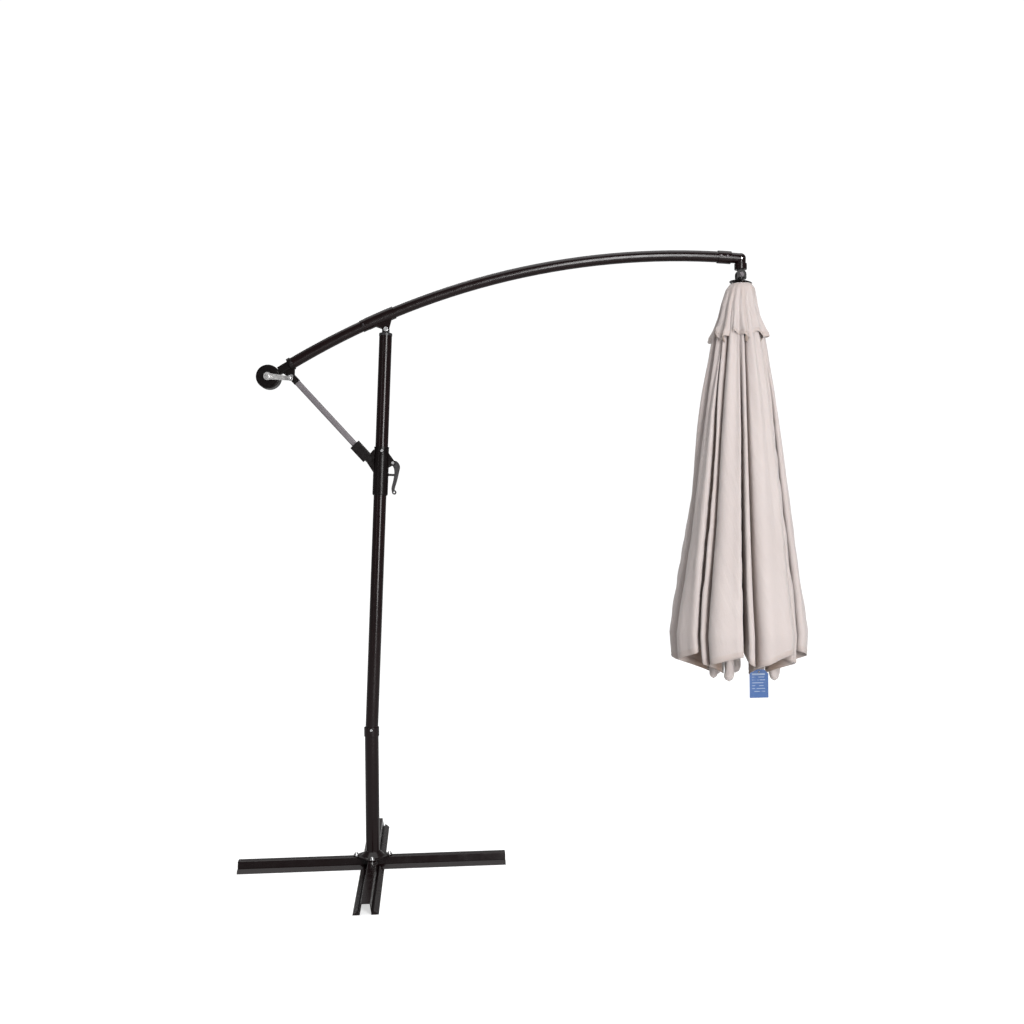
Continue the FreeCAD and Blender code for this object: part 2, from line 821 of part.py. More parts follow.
def crank_arm():
    """A cast handle that tapers towards the knob, with two long grooves."""
    y1 = crank_base()
    y0 = y1 - crank_arm_thickness
    web = plate_xz([
        (0, crank_hub_radius - 3),
        (crank_length, crank_tip_radius - 1.5),
        (crank_length, -crank_tip_radius + 1.5),
        (0, -crank_hub_radius + 3),
    ], y0, y1)
    hub = rod_y(0, 0, crank_hub_radius, y0 - 2, y1 + crank_clearance - 0.6)
    tip = rod_y(crank_length, 0, crank_tip_radius, y0, y1)
    arm = fused([web, hub, tip])
    for z in (-3.6, 3.6):
        groove = block(crank_hub_radius + 5, crank_length - 14, y0 - 1, y0 + 1.2, z - 1.3, z + 1.3)
        arm = arm.cut(groove)
    pin = rod_y(crank_length, 0, knob_pin_radius, y0 - knob_length - 1.5, y0 + 1)
    pin_head = rod_y(crank_length, 0, knob_pin_radius + 1.5, y0 - knob_length - 2.5, y0 - knob_length - 0.6)
    arm = fused([arm, pin, pin_head])
    return in_crank(arm.cut(rod_y(0, 0, crank_shaft_radius, y0 - 3, y1 + 5)))


def crank_cap():
    """The domed nut that holds the crank on its shaft."""
    y1 = crank_base() - crank_arm_thickness - 2.4
    cap = rod_y(0, 0, 9, y1 - 4, y1)
    cap = softened(cap, 2.5, lambda e: e.CenterOfMass.y < y1 - 3)
    return in_crank(cap)


def crank_knob():
    """The round knob that turns freely on its pin."""
    y1 = crank_base() - crank_arm_thickness - 0.4
    y0 = y1 - knob_length + 0.4
    knob = rod_y(crank_length, 0, knob_radius, y0, y1)
    knob = softened(knob, 2.5, lambda e: e.CenterOfMass.y < y0 + 1)
    waist = rod_y(crank_length, 0, knob_radius + 1, y1 - 8, y1 - 4)
    waist = waist.cut(rod_y(crank_length, 0, knob_radius - 1.5, y1 - 9, y1 - 3))
    knob = knob.cut([waist, rod_y(crank_length, 0, knob_pin_radius + running_fit, y0 - 1, y1 + 1)])
    return in_crank(knob)


# Strut --------------------------------------------------------------------

def strut_ends():
    """The strut's head and foot pivots in the upright mast frame."""
    head_x, head_z = tail_point(strut_head_along, -strut_head_below)
    return (head_x, head_z), (-strut_foot_side, strut_foot_height)


def strut_span():
    (hx, hz), (fx, fz) = strut_ends()
    return math.hypot(hx - fx, hz - fz)


def in_strut(shape):
    """Moves a piece made with the foot pivot at the origin and the strut along X."""
    (hx, hz), (fx, fz) = strut_ends()
    placed = shape.copy()
    placed.rotate(vec(0, 0, 0), Y, -math.degrees(math.atan2(hz - fz, hx - fx)))
    placed.translate(vec(fx, 0, mast_up(fz)))
    return leaning(placed)


def strut_bar():
    """The flat oval tube between knuckle and shoe."""
    x0 = shoe_bore_start
    x1 = strut_span() - knuckle_radius - 2
    w = strut_width / 2
    d = strut_depth / 2
    bar = block(x0, x1, -d, d, -w, w)
    bar = softened(bar, d - 1.0, lambda e: is_straight_along(e, X))
    t = strut_wall
    hollow = block(x0 - 1, x1 + 1, -d + t, d - t, -w + t, w - t)
    hollow = softened(hollow, d - t - 0.8, lambda e: is_straight_along(e, X))
    return in_strut(bar.cut(hollow))


def strut_knuckle():
    """The eye at the strut's head, with a sleeve over the bar's end."""
    span = strut_span()
    half = knuckle_half_depth()
    eye = rod_y(span, 0, knuckle_radius, -half, half)
    w = strut_width / 2 + 1.5
    sleeve = block(span - knuckle_length - 8, span, -half, half, -w, w)
    sleeve = sleeve.cut(rod_y(span + 6, 0, 10, -half - 1, half + 1).cut(eye))
    x1 = span - knuckle_radius - 2
    inner = block(0, x1, -strut_depth / 2, strut_depth / 2, -strut_width / 2, strut_width / 2)
    inner = softened(inner, strut_depth / 2 - 1.0, lambda e: is_straight_along(e, X))
    trimmed = sleeve.common(block(0, span - 4, -half, half, -w, w))
    body = fused([trimmed, eye]).cut(inner)
    return in_strut(body.cut(rod_y(span, 0, strut_pin_radius + running_fit, -half - 1, half + 1)))


def strut_shoe():
    """The moulded shoe on the strut's foot, forked over the slider's ears and ribbed for grip."""
    w = shoe_half_width
    d = shoe_half_depth
    body = block(shoe_start, shoe_length, -d, d, -w, w)
    body = softened(body, 5.0, lambda e: is_straight_along(e, X))
    body = fused([body, rod_y(0, 0, shoe_end_radius, -d, d)])
    step = (shoe_length - shoe_rib_start - shoe_rib_end) / shoe_rib_count
    cuts = []
    for i in range(shoe_rib_count + 1):
        x = shoe_rib_start + i * step
        cuts.append(block(x, x + step * 0.4, -d - 1, d + 1, -w - 1, -w + shoe_rib_depth))
    e = foot_eye_half_depth
    slot = block(-shoe_end_radius - 1, shoe_slot_end, e, shoe_slot_half_depth, -w - 1, w + 1)
    bore = block(shoe_bore_start, shoe_length + 1, -strut_depth / 2, strut_depth / 2, -strut_width / 2, strut_width / 2)
    bore = softened(bore, strut_depth / 2 - 1.0, lambda edge: is_straight_along(edge, X))
    hole = rod_y(0, 0, foot_pin_radius + foot_eye_clearance, -e - 1, e + 1)
    return in_strut(body.cut(cuts + both_sides(slot) + [bore, hole]))


# Slider and lever ---------------------------------------------------------

def slider_body():
    """The body that slides on the mast, with ears for the strut and the lever."""
    z0 = mast_up(slider_bottom)
    z1 = mast_up(slider_body_top)
    z2 = mast_up(slider_collar_top)
    body = rod_z(0, 0, slider_radius, z0, z1)
    body = softened(body, 2.0, lambda e: e.Curve.TypeId == "Part::GeomCircle")
    collar = rod_z(0, 0, slider_collar_radius, z1 - 5, z2)
    flange = rod_z(0, 0, slider_flange_radius, z2 - 1, z2 + slider_flange)
    boss = Part.makeCylinder(7.5, 6, vec(2, -slider_collar_radius + 3, z2 - 12), vec(0, -1, 0))
    y0 = foot_eye_half_depth + ear_gap
    y1 = y0 + ear_thickness
    foot_z = mast_up(strut_foot_height)
    ear = plate_xz([
        (-strut_foot_side - 6, foot_z - ear_radius + 1.5),
        (-strut_foot_side + 22, foot_z - 52),
        (0, foot_z - 60),
        (0, z2 - 8),
        (-strut_foot_side + 18, z2 - 8),
        (-strut_foot_side - 2, foot_z + ear_radius - 0.5),
    ], y0, y1)
    ear = fused([ear, rod_y(-strut_foot_side, foot_z, ear_radius, y0, y1)])
    lever_z = mast_up(lever_pivot_height)
    y2 = lever_half_depth + ear_gap
    side = lever_pivot_side
    grip = plate_xz([
        (0, z1 + 8),
        (slider_radius - 2, z1 + 8),
        (side + 6, lever_z + 7.5),
        (side - 3, lever_z - lever_ear_radius),
        (slider_radius - 4, lever_z - lever_ear_drop),
        (0, lever_z - lever_ear_drop),
    ], y2, y2 + 4)
    grip = fused([grip, rod_y(side, lever_z, lever_ear_radius, y2, y2 + 4)])
    shape = fused([body, collar, flange, boss] + both_sides(ear) + both_sides(grip))
    bore = rod_z(0, 0, slider_bore, z0 - 1, z2 + 10)
    bush_seat = rod_z(0, 0, slider_bore + bush_thickness, z0 - 1, z0 + bush_length)
    cuts = [bore, bush_seat]
    cuts.append(rod_y(-strut_foot_side, foot_z, foot_pin_radius, -y1 - 1, y1 + 1))
    cuts.append(rod_y(side, lever_z, lever_pin_radius, -y2 - 9, y2 + 9))
    cuts.append(block(10, 60, -7, 7, lever_z - plunger_drop - 9, lever_z - plunger_drop + 9))
    cuts.append(screw_hole(*slider_screw_place()))
    return leaning(shape.cut(cuts))


def slider_window_top():
    return mast_up(lever_pivot_height) - plunger_drop + 9


def slider_screw_place():
    return 2, -slider_collar_radius - 3, mast_up(slider_collar_top) - 12, (0, -1, 0)


def slider_bush():
    z0 = mast_up(slider_bottom) - 3
    inner = slider_bore - 0.05
    outer = slider_bore + bush_thickness
    tube = ring_z(outer, inner, z0, z0 + bush_length)
    lip = ring_z(slider_radius - 1.5, inner, z0, z0 + 2.8)
    return leaning(fused([tube, lip]))


def slider_screw():
    """The clamp screw in the slider's round boss."""
    x, y, z, direction = slider_screw_place()
    head = Part.makeCylinder(5.5, 3, vec(x, y, z), vec(*direction))
    head = softened(head, 1.2, lambda e: e.CenterOfMass.y < y - 2.5)
    slot = block(x - 7, x + 7, y - 4, y - 2, z - 0.7, z + 0.7)
    shank = Part.makeCylinder(screw_radius, 5, vec(x, y + 5, z), vec(*direction))
    return leaning(fused([head, shank]).cut(slot))


def strut_foot_pin():
    """The headless pin between the slider's ears, hidden by the shoe."""
    y1 = foot_eye_half_depth + ear_gap + ear_thickness
    pin = rod_y(-strut_foot_side, mast_up(strut_foot_height), foot_pin_radius, -y1, y1)
    return leaning(pin)


def lever_pin():
    half = lever_half_depth + ear_gap + 4
    z = mast_up(lever_pivot_height)
    shank = rod_y(lever_pivot_side, z, lever_pin_radius, -half - 0.5, half + 0.5)
    caps = [rod_y(lever_pivot_side, z, lever_pin_radius + 2.5, a, a + 2) for a in (-half - 2, half)]
    return leaning(fused([shank] + caps))


def lever_outline():
    """The lever's side view, from its pivot; it curls out at the bottom."""
    z = -lever_drop
    return [
        vec(-7, 0, -5),
        vec(5.5, 0, -24),
        vec(5.5, 0, z * 0.45),
        vec(1.5, 0, z * 0.65),
        vec(-1.5, 0, z * 0.77),
        vec(-1.0, 0, z * 0.88),
        vec(4.5, 0, z * 0.97),
        vec(12.5, 0, z),
        vec(16.0, 0, z * 0.96),
        vec(11.5, 0, z * 0.9),
        vec(10.5, 0, z * 0.82),
        vec(15.0, 0, z * 0.66),
        vec(20.5, 0, z * 0.47),
        vec(26.0, 0, -26),
        vec(27.5, 0, -14),
        vec(19.5, 0, 3),
        vec(4, 0, 8),
    ]


def lever():
    """The hooked squeeze lever beside the mast."""
    curve = Part.BSplineCurve()
    curve.interpolate(lever_outline(), PeriodicFlag=True)
    face = Part.Face(Part.Wire(curve.toShape()))
    half = lever_half_depth
    body = face.extrude(vec(0, 2 * half, 0))
    body.translate(vec(0, -half, 0))
    body = fused([body, rod_y(0, 0, lever_eye_radius, -half, half)])
    stem_end = main_pole_radius + plunger_gap + 6 - lever_pivot_side
    stem = Part.makeCylinder(plunger_radius, 12 - stem_end, vec(stem_end, 0, -plunger_drop), X)
    body = fused([body, stem])
    curl_z = lever_curl_height - lever_drop
    body = fused([body, rod_y(lever_curl_side, curl_z, lever_curl_radius, -half, half)])
    eye = rod_y(lever_curl_side, curl_z, lever_curl_hole, -half - 1, half + 1)
    bore = rod_y(0, 0, lever_pin_radius + running_fit, -half - 1, half + 1)
    pocket = rod_y(0, 0, lever_pin_radius + 3.2, -2.6, 2.6)
    slit = block(-20, 0, -2.6, 2.6, -3, 12)
    body = body.cut([bore, pocket, slit, eye])
    body.translate(vec(lever_pivot_side, 0, mast_up(lever_pivot_height)))
    return leaning(body)


def lever_plunger():
    """The rubber pad that grips the mast when the lever is let go."""
    x0 = main_pole_radius + plunger_gap
    z = mast_up(lever_pivot_height) - plunger_drop
    pad = Part.makeCylinder(plunger_radius + 1.5, 6, vec(x0, 0, z), X)
    pad = pad.cut(rod_z(0, 0, main_pole_radius + plunger_gap, z - 20, z + 20))
    return leaning(pad)


def lever_spring():
    """The small torsion coil round the lever's pin."""
    radius = lever_pin_radius + 1.5
    pitch = spring_wire + 0.5
    helix = Part.makeHelix(pitch, pitch * spring_turns, radius)
    section = Part.makeCircle(spring_wire / 2, vec(radius, 0, 0), Y)
    coil = Part.Wire(helix).makePipeShell([Part.Wire(section)], True, True)
    coil.rotate(vec(0, 0, 0), X, 90)
    height = pitch * spring_turns / 2
    coil.translate(vec(lever_pivot_side, height, mast_up(lever_pivot_height)))
    return leaning(coil)


# Head ---------------------------------------------------------------------

def head_point():
    """The elbow's corner, where the arm's line meets the upright leg."""
    a = math.radians(arm_angle(arm_reach))
    x, z = arm_point(arm_reach)
    return world_point(x + head_corner * math.cos(a), z + head_corner * math.sin(a))


def band_top():
    return head_point()[1] - head_leg_length


def link_bolt_height():
    return band_top() - head_band_height - link_bolt_drop


def head_elbow():
    """The cast elbow: collar, rounded corner, upright leg, band and tongue."""
    hx, hz = head_point()
    s0 = arm_reach - head_collar_length + 8
    collar = leaning(arm_bar(s0, arm_reach + 6, head_collar_radius))
    neck = leaning(arm_bar(arm_reach, arm_reach + head_corner, head_leg_radius))
    knee = Part.makeSphere(head_leg_radius + 0.5, vec(hx, 0, hz))
    zb = band_top()
    z0 = zb - head_band_height
    leg = rod_z(hx, 0, head_leg_radius, zb - 2, hz)
    band = rod_z(hx, 0, head_band_radius, z0, zb)
    band = softened(band, 2.0, lambda e: e.Curve.TypeId == "Part::GeomCircle")
    bolt_z = link_bolt_height()
    half = link_tongue_half
    tongue = fused([
        block(hx - 12, hx + 12, -half, half, bolt_z, z0 + 2),
        rod_y(hx, bolt_z, 12, -half, half),
    ])
    body = fused([collar, neck, knee, leg, band, tongue])
    bore = leaning(arm_bar(s0 - 2, arm_reach + 0.2, arm_radius + 0.05))
    throat = leaning(arm_bar(arm_reach - 1, arm_reach + head_corner - 8, 11))
    way = block(hx - pulley_radius - 3, hx + pulley_radius + 3, -7, 7, z0 + 6, hz + pulley_radius - 1)
    cord_way = rod_z(hx, 0, 5, bolt_z + 8, z0 + 10)
    pin = rod_y(hx, pulley_height(), pulley_pin_radius, -40, 40)
    bolt = rod_y(hx, bolt_z, link_bolt_radius + running_fit, -half - 1, half + 1)
    holes = [leaning(shape) for shape in head_screw_holes()]
    return body.cut([bore, throat, way, cord_way, pin, bolt] + holes)


def pulley_height():
    return head_point()[1] - 3


def cord_pulley():
    """The grooved wheel that turns the lift cord downwards."""
    x = head_point()[0]
    z = pulley_height()
    half = pulley_half_width
    wheel = rod_y(x, z, pulley_radius, -half, half)
    groove = Part.makeTorus(pulley_radius + 1, 4, vec(x, 0, z), Y)
    return wheel.cut([groove, rod_y(x, z, pulley_pin_radius + running_fit, -half - 1, half + 1)])


def pulley_pin():
    x = head_point()[0]
    z = pulley_height()
    reach = math.sqrt((head_leg_radius + 0.5) ** 2 - 9) + 1
    return rod_y(x, z, pulley_pin_radius, -reach, reach)


def link_bolt():
    """The bolt that the canopy hangs from, with a washer under its head."""
    x = head_point()[0]
    z = link_bolt_height()
    outer = link_tongue_half + lug_gap + link_cheek
    shank = rod_y(x, z, link_bolt_radius, -outer, outer + 6)
    washer = rod_y(x, z, link_bolt_radius + 5, -outer - 1.6, -outer - 0.3)
    head = rod_y(x, z, link_bolt_radius + 3, -outer - 6, -outer - 0.3)
    nut = rod_y(x, z, link_bolt_radius + 4, outer + 0.3, outer + 6)
    neck = rod_y(x, z, link_bolt_radius, -outer - 1, -outer)
    return fused([shank, washer, head, nut, neck])


# Canopy frame -------------------------------------------------------------

def hub_top():
    return link_bolt_height() - hub_drop


def swivel_link():
    """The clevis under the head, fixed to the canopy's hub."""
    x = head_point()[0]
    z = link_bolt_height()
    y0 = link_tongue_half + lug_gap
    y1 = y0 + link_cheek
    low = z - link_length + 20
    cheek = fused([
        block(x - link_radius, x + link_radius, y0, y1, low, z),
        rod_y(x, z, link_radius, y0, y1),
    ])
    foot = rod_z(x, 0, link_radius + 2, low - 1, low + 2.2)
    stem = rod_z(x, 0, 9, hub_top() - hub_height - 6, low)
    bore = rod_z(x, 0, 4, hub_top() - hub_height - 7, low + 5)
    hole = rod_y(x, z, link_bolt_radius + running_fit, -y1 - 1, y1 + 1)
    return fused(both_sides(cheek) + [foot, stem]).cut([bore, hole])


def cap_dish():
    """The loose shallow cap over the canopy's top, slightly tilted."""
    x = head_point()[0]
    z = hub_top() + cap_lift
    rise = cap_rise
    ball = (cap_radius ** 2 + rise ** 2) / (2 * rise)
    dome = Part.makeSphere(ball, vec(0, 0, rise - ball))
    dome = dome.common(rod_z(0, 0, cap_radius, 0, rise + 5))
    rim = rod_z(0, 0, cap_radius, -2, 0.5)
    dish = fused([dome, rim]).cut(rod_z(0, 0, 13, -5, rise + 6))
    dish.rotate(vec(0, 0, 0), Y, cap_tilt)
    dish.translate(vec(x, 0, z))
    return dish


def rib_lean():
    return math.degrees(math.asin((rib_pitch_bottom - rib_pitch_top) / rib_length))


def in_canopy(shape, turn=0.0):
    """Moves a piece made on the canopy's axis, hub top at the origin, into place."""
    placed = shape.copy()
    placed.rotate(vec(0, 0, 0), Z, turn)
    placed.translate(vec(head_point()[0], 0, hub_top()))
    return placed


def crown_hub():
    """The slotted disc that holds the ribs' top ends."""
    hub = rod_z(0, 0, hub_radius, -hub_height, 0)
    slots = []
    for i in range(rib_count):
        slot = block(hub_radius - 15, hub_radius + 5, -3.3, 3.3, -hub_height - 1, -3)
        slot.rotate(vec(0, 0, 0), Z, 360 * i / rib_count)
        slots.append(slot)
    return in_canopy(hub.cut(slots + [rod_z(0, 0, 9.0, -hub_height - 1, 1)]))


def rib(index):
    """One square-tube rib with a flattened top end, hanging nearly upright."""
    w = rib_width / 2
    d = rib_depth / 2
    t = rib_wall
    z0 = -rib_length + rib_tip_length * 0.5
    tube = block(-d, d, -w, w, z0, -20)
    tube = tube.cut(block(-d + t, d - t, -w + t, w - t, z0 - 1, -21))
    tongue = block(-5, 5, -2.9, 2.9, -25, 0)
    shape = fused([tube, tongue])
    shape.rotate(vec(0, 0, 0), Y, -rib_lean())
    shape.translate(vec(rib_pitch_top, 0, -hub_height * 0.5))
    return in_canopy(shape, 360 * index / rib_count)


def rib_tips():
    """Moulded ends on the ribs, where the cloth's pockets seat."""
    tips = []
    w = rib_width / 2 + 1.5
    d = rib_depth / 2 + 1.5
    z0 = -rib_length + rib_tip_length * 0.5
    for i in range(rib_count):
        tip = block(-d, d, -w, w, -rib_length, -rib_length + rib_tip_length)
        tip = softened(tip, 2.5, lambda e: is_straight_along(e, Z))
        socket = block(-d + 1.5, d - 1.5, -w + 1.5, w - 1.5, z0, 0)
        tip = tip.cut(socket)
        tip.rotate(vec(0, 0, 0), Y, -rib_lean())
        tip.translate(vec(rib_pitch_top, 0, -hub_height * 0.5))
        tips.append(in_canopy(tip, 360 * i / rib_count))
    return Part.makeCompound(tips)


def runner():
    """The lower hub that the lift cord pulls up to open the canopy."""
    body = rod_z(0, 0, runner_radius, -runner_drop, -runner_drop + runner_height)
    body = softened(body, 2.0, lambda e: e.Curve.TypeId == "Part::GeomCircle")
    slots = []
    for i in range(rib_count):
        z0 = -runner_drop + 6
        slot = block(runner_radius - 9, runner_radius + 5, -2.3, 2.3, z0, -runner_drop + runner_height + 1)
        slot.rotate(vec(0, 0, 0), Z, 360 * i / rib_count)
        slots.append(slot)
    return in_canopy(body.cut(slots + [rod_z(0, 0, runner_bore, -runner_drop - 1, 0)]))


def stretchers():
    """Eight flat bars from the runner's slots up to the ribs."""
    bars = []
    low = -runner_drop + 10
    high = -stretcher_reach
    low_x = runner_radius - 4
    rib_x = rib_pitch_top + math.tan(math.radians(rib_lean())) * (stretcher_reach - hub_height * 0.5)
    high_x = rib_x - rib_depth / 2 - stretcher_depth / 2 - 0.6
    lean = math.degrees(math.atan2(high_x - low_x, high - low))
    length = math.hypot(high_x - low_x, high - low)
    for i in range(rib_count):
        bar = block(-stretcher_depth / 2, stretcher_depth / 2, -stretcher_width / 2, stretcher_width / 2, 0, length)
        bar.rotate(vec(0, 0, 0), Y, lean)
        bar.translate(vec(low_x, 0, low))
        bars.append(in_canopy(bar, 360 * i / rib_count))
    return Part.makeCompound(bars)


# Cloth, tag ---------------------------------------------------------------

def shell_of(outline, thickness):
    """A thin shell of revolution round the canopy's axis from its outer line."""
    inner = [(r - thickness, z) for r, z in outline]
    corners = [vec(r, 0, z) for r, z in outline + inner[::-1]]
    face = Part.Face(Part.makePolygon(corners + corners[:1]))
    return face.revolve(vec(0, 0, 0), Z, 360)


def cloth_radius(drop):
    """The furled cloth's outer radius at a drop below the hub's top."""
    if drop < cloth_shoulder_drop:
        share = drop / cloth_shoulder_drop
        return cloth_neck_radius + (cloth_shoulder_radius - cloth_neck_radius) * math.sin(share * math.pi / 2)
    share = (drop - cloth_shoulder_drop) / (cloth_hem_drop - cloth_shoulder_drop)
    return cloth_shoulder_radius + (cloth_hem_radius - cloth_shoulder_radius) * share


def canopy_cloth():
    drops = [cloth_shoulder_drop * i / 5 for i in range(5)]
    drops += [cloth_shoulder_drop, cloth_hem_drop]
    outline = [(cloth_radius(d), -d) for d in drops]
    return in_canopy(shell_of(outline, cloth_thickness))


def vent_cloth():
    """The short upper tier that hangs over the canopy's shoulder."""
    drops = [vent_length * i / 5 for i in range(6)]
    outline = [(cloth_radius(d) + vent_gap + cloth_thickness, -d) for d in drops]
    return in_canopy(shell_of(outline, cloth_thickness))


def hang_tag():
    """The card label, with two cut corners and a hole for its tie."""
    w = tag_width / 2
    h = tag_height
    c = tag_chamfer
    card = plate_xz([(-w, 0), (w, 0), (w, h - c), (w - c, h), (-w + c, h), (-w, h - c)], 0, tag_thickness)
    card = card.cut(rod_y(0, h - 9, tag_hole_radius, -1, tag_thickness + 1))
    card.translate(vec(tag_side, -tag_front, -tag_bottom_drop))
    return in_canopy(card)


# Nodes --------------------------------------------------------------------

nodes = {
    "base_long_bar": base_long_bar(),
    "base_leg_pair": base_leg_pair(),
    "base_plate": base_plate(),
    "base_fasteners": base_fasteners(),
    "lower_pole": lower_pole(),
    "pole_collar": pole_collar(),
    "pole_collar_screw": pole_collar_screw(),
    "main_pole": main_pole(),
    "pole_top_insert": pole_top_insert(),
    "arm_pivot_bolt": arm_pivot_bolt(),
    "arm_pivot_nut": arm_pivot_nut(),
    "slider_body": slider_body(),
    "slider_bush": slider_bush(),
    "slider_screw": slider_screw(),
    "strut_foot_pin": strut_foot_pin(),
    "lever_pin": lever_pin(),
    "lever_spring": lever_spring(),
    "lever": lever(),
    "lever_plunger": lever_plunger(),
    "arm_bracket": arm_bracket(),
    "arm_tube": front_arm_tube(),
    "tail_tube": tail_tube(),
    "arm_joint_collar": arm_joint_collar(),
    "arm_screws": arm_screws(),
    "tail_bracket": tail_bracket(),
    "strut_head_pin": strut_head_pin(),
    "drum_shell_front": drum_shell(True),
    "drum_shell_rear": drum_shell(False),
    "drum_screws": drum_screws(),
    "ratchet_pawl": ratchet_pawl(),
    "head_elbow": head_elbow(),
    "cord_pulley": cord_pulley(),
    "pulley_pin": pulley_pin(),
    "link_bolt": link_bolt(),
    "crank_shaft": crank_shaft(),
    "cord_spool": cord_spool(),
    "ratchet_wheel": ratchet_wheel(),
    "crank_arm": crank_arm(),
    "crank_cap": crank_cap(),
    "crank_knob": crank_knob(),
    "strut_bar": strut_bar(),
    "strut_knuckle": strut_knuckle(),
    "strut_shoe": strut_shoe(),
    "swivel_link": swivel_link(),
    "cap_dish": cap_dish(),
    "crown_hub": crown_hub(),
    "runner": runner(),
    "rib_tips": rib_tips(),
    "stretchers": stretchers(),
    "canopy_cloth": canopy_cloth(),
    "vent_cloth": vent_cloth(),
    "hang_tag": hang_tag(),
}
for number in range(rib_count):
    nodes["rib_" + str(number + 1)] = rib(number)

os.makedirs("parts", exist_ok=True)
for name, shape in nodes.items():
    if not shape.isValid():
        raise ValueError(name + " is not a valid shape")
    shape.exportStep("parts/" + name + ".step")
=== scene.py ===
"""A cantilever parasol, furled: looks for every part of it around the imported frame."""
import bpy
import math
from mathutils import Matrix, Vector, noise


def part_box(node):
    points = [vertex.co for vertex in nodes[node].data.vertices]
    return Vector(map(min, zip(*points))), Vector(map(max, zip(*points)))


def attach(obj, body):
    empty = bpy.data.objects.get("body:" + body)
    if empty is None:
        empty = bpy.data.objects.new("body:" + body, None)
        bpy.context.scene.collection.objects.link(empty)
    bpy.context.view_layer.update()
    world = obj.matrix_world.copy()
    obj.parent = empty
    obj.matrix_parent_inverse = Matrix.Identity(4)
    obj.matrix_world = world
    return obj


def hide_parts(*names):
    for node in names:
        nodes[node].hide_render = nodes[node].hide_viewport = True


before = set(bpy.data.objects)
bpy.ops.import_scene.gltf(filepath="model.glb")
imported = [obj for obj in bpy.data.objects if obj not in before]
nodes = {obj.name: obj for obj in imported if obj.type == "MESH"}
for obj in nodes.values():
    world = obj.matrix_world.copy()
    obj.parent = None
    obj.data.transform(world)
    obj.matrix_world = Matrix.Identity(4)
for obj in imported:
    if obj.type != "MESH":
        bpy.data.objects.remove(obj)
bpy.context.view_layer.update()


# ---------------------------------------------------------------- camera

CAMERA_PLACE = (0.218, -4.10, 1.335)
CAMERA_LENS = 37.86
CAMERA_TURN = math.radians(-4.5)
CAMERA_ROLL = math.radians(-0.6)


def set_camera():
    """A level camera at chest height, a little to the canopy's side of the mast."""
    data = bpy.data.cameras.new("view")
    data.lens = CAMERA_LENS
    data.sensor_width = 36
    data.clip_end = 60
    data.shift_y = -0.001
    cam = bpy.data.objects.new("view", data)
    bpy.context.scene.collection.objects.link(cam)
    turn = Matrix.Rotation(CAMERA_TURN, 4, "Z") @ Matrix.Rotation(math.radians(90), 4, "X")
    cam.matrix_world = Matrix.Translation(CAMERA_PLACE) @ turn @ Matrix.Rotation(CAMERA_ROLL, 4, "Z")
    bpy.context.scene.camera = cam


set_camera()
bpy.context.scene.view_settings.view_transform = "Standard"


# ---------------------------------------------------------------- finishes

class Finish:
    """A material under construction: one Principled shader and short ways to feed it."""

    def __init__(self, name, uv=None):
        self.material = bpy.data.materials.new(name)
        self.material.use_nodes = True
        self.tree = self.material.node_tree
        self.shader = self.tree.nodes["Principled BSDF"]
        if uv:
            place = self.tree.nodes.new("ShaderNodeUVMap")
            place.uv_map = uv
            self.place = place.outputs["UV"]
        else:
            self.place = self.tree.nodes.new("ShaderNodeTexCoord").outputs["Object"]

    def node(self, kind, **values):
        made = self.tree.nodes.new(kind)
        for key, value in values.items():
            if key in made.inputs:
                made.inputs[key].default_value = value
            else:
                setattr(made, key, value)
        return made

    def link(self, a, b):
        self.tree.links.new(a, b)

    def constant(self, socket, value):
        self.shader.inputs[socket].default_value = value

    def stretched(self, scale, place=None):
        spread = self.node("ShaderNodeMapping")
        spread.inputs["Scale"].default_value = scale
        self.link(place or self.place, spread.inputs["Vector"])
        return spread.outputs["Vector"]

    def noise(self, scale, detail=3.0, place=None, rough=0.55):
        made = self.node("ShaderNodeTexNoise", Scale=scale, Detail=detail, Roughness=rough)
        self.link(place or self.place, made.inputs["Vector"])
        return made.outputs["Fac"]

    def spread(self, value, low, high, to_low=0.0, to_high=1.0):
        made = self.node("ShaderNodeMapRange")
        made.inputs["From Min"].default_value = low
        made.inputs["From Max"].default_value = high
        made.inputs["To Min"].default_value = to_low
        made.inputs["To Max"].default_value = to_high
        self.link(value, made.inputs["Value"])
        return made.outputs["Result"]

    def blend(self, share, first, second):
        made = self.node("ShaderNodeMix", data_type="RGBA")
        self.link(share, made.inputs["Factor"])
        for socket, colour in ((made.inputs[6], first), (made.inputs[7], second)):
            if isinstance(colour, tuple):
                socket.default_value = (*colour, 1.0)
            else:
                self.link(colour, socket)
        return made.outputs[2]

    def maths(self, operation, a, b):
        made = self.node("ShaderNodeMath", operation=operation)
        for socket, value in zip(made.inputs, (a, b)):
            if isinstance(value, (int, float)):
                socket.default_value = value
            else:
                self.link(value, socket)
        return made.outputs[0]

    def colour(self, value):
        self.link(value, self.shader.inputs["Base Color"])

    def roughness(self, value):
        self.link(value, self.shader.inputs["Roughness"])

    def bump(self, height, distance, strength=1.0):
        made = self.node("ShaderNodeBump", Strength=strength, Distance=distance)
        self.link(height, made.inputs["Height"])
        last = self.shader.inputs["Normal"]
        if last.is_linked:
            self.link(last.links[0].from_socket, made.inputs["Normal"])
        self.link(made.outputs["Normal"], last)


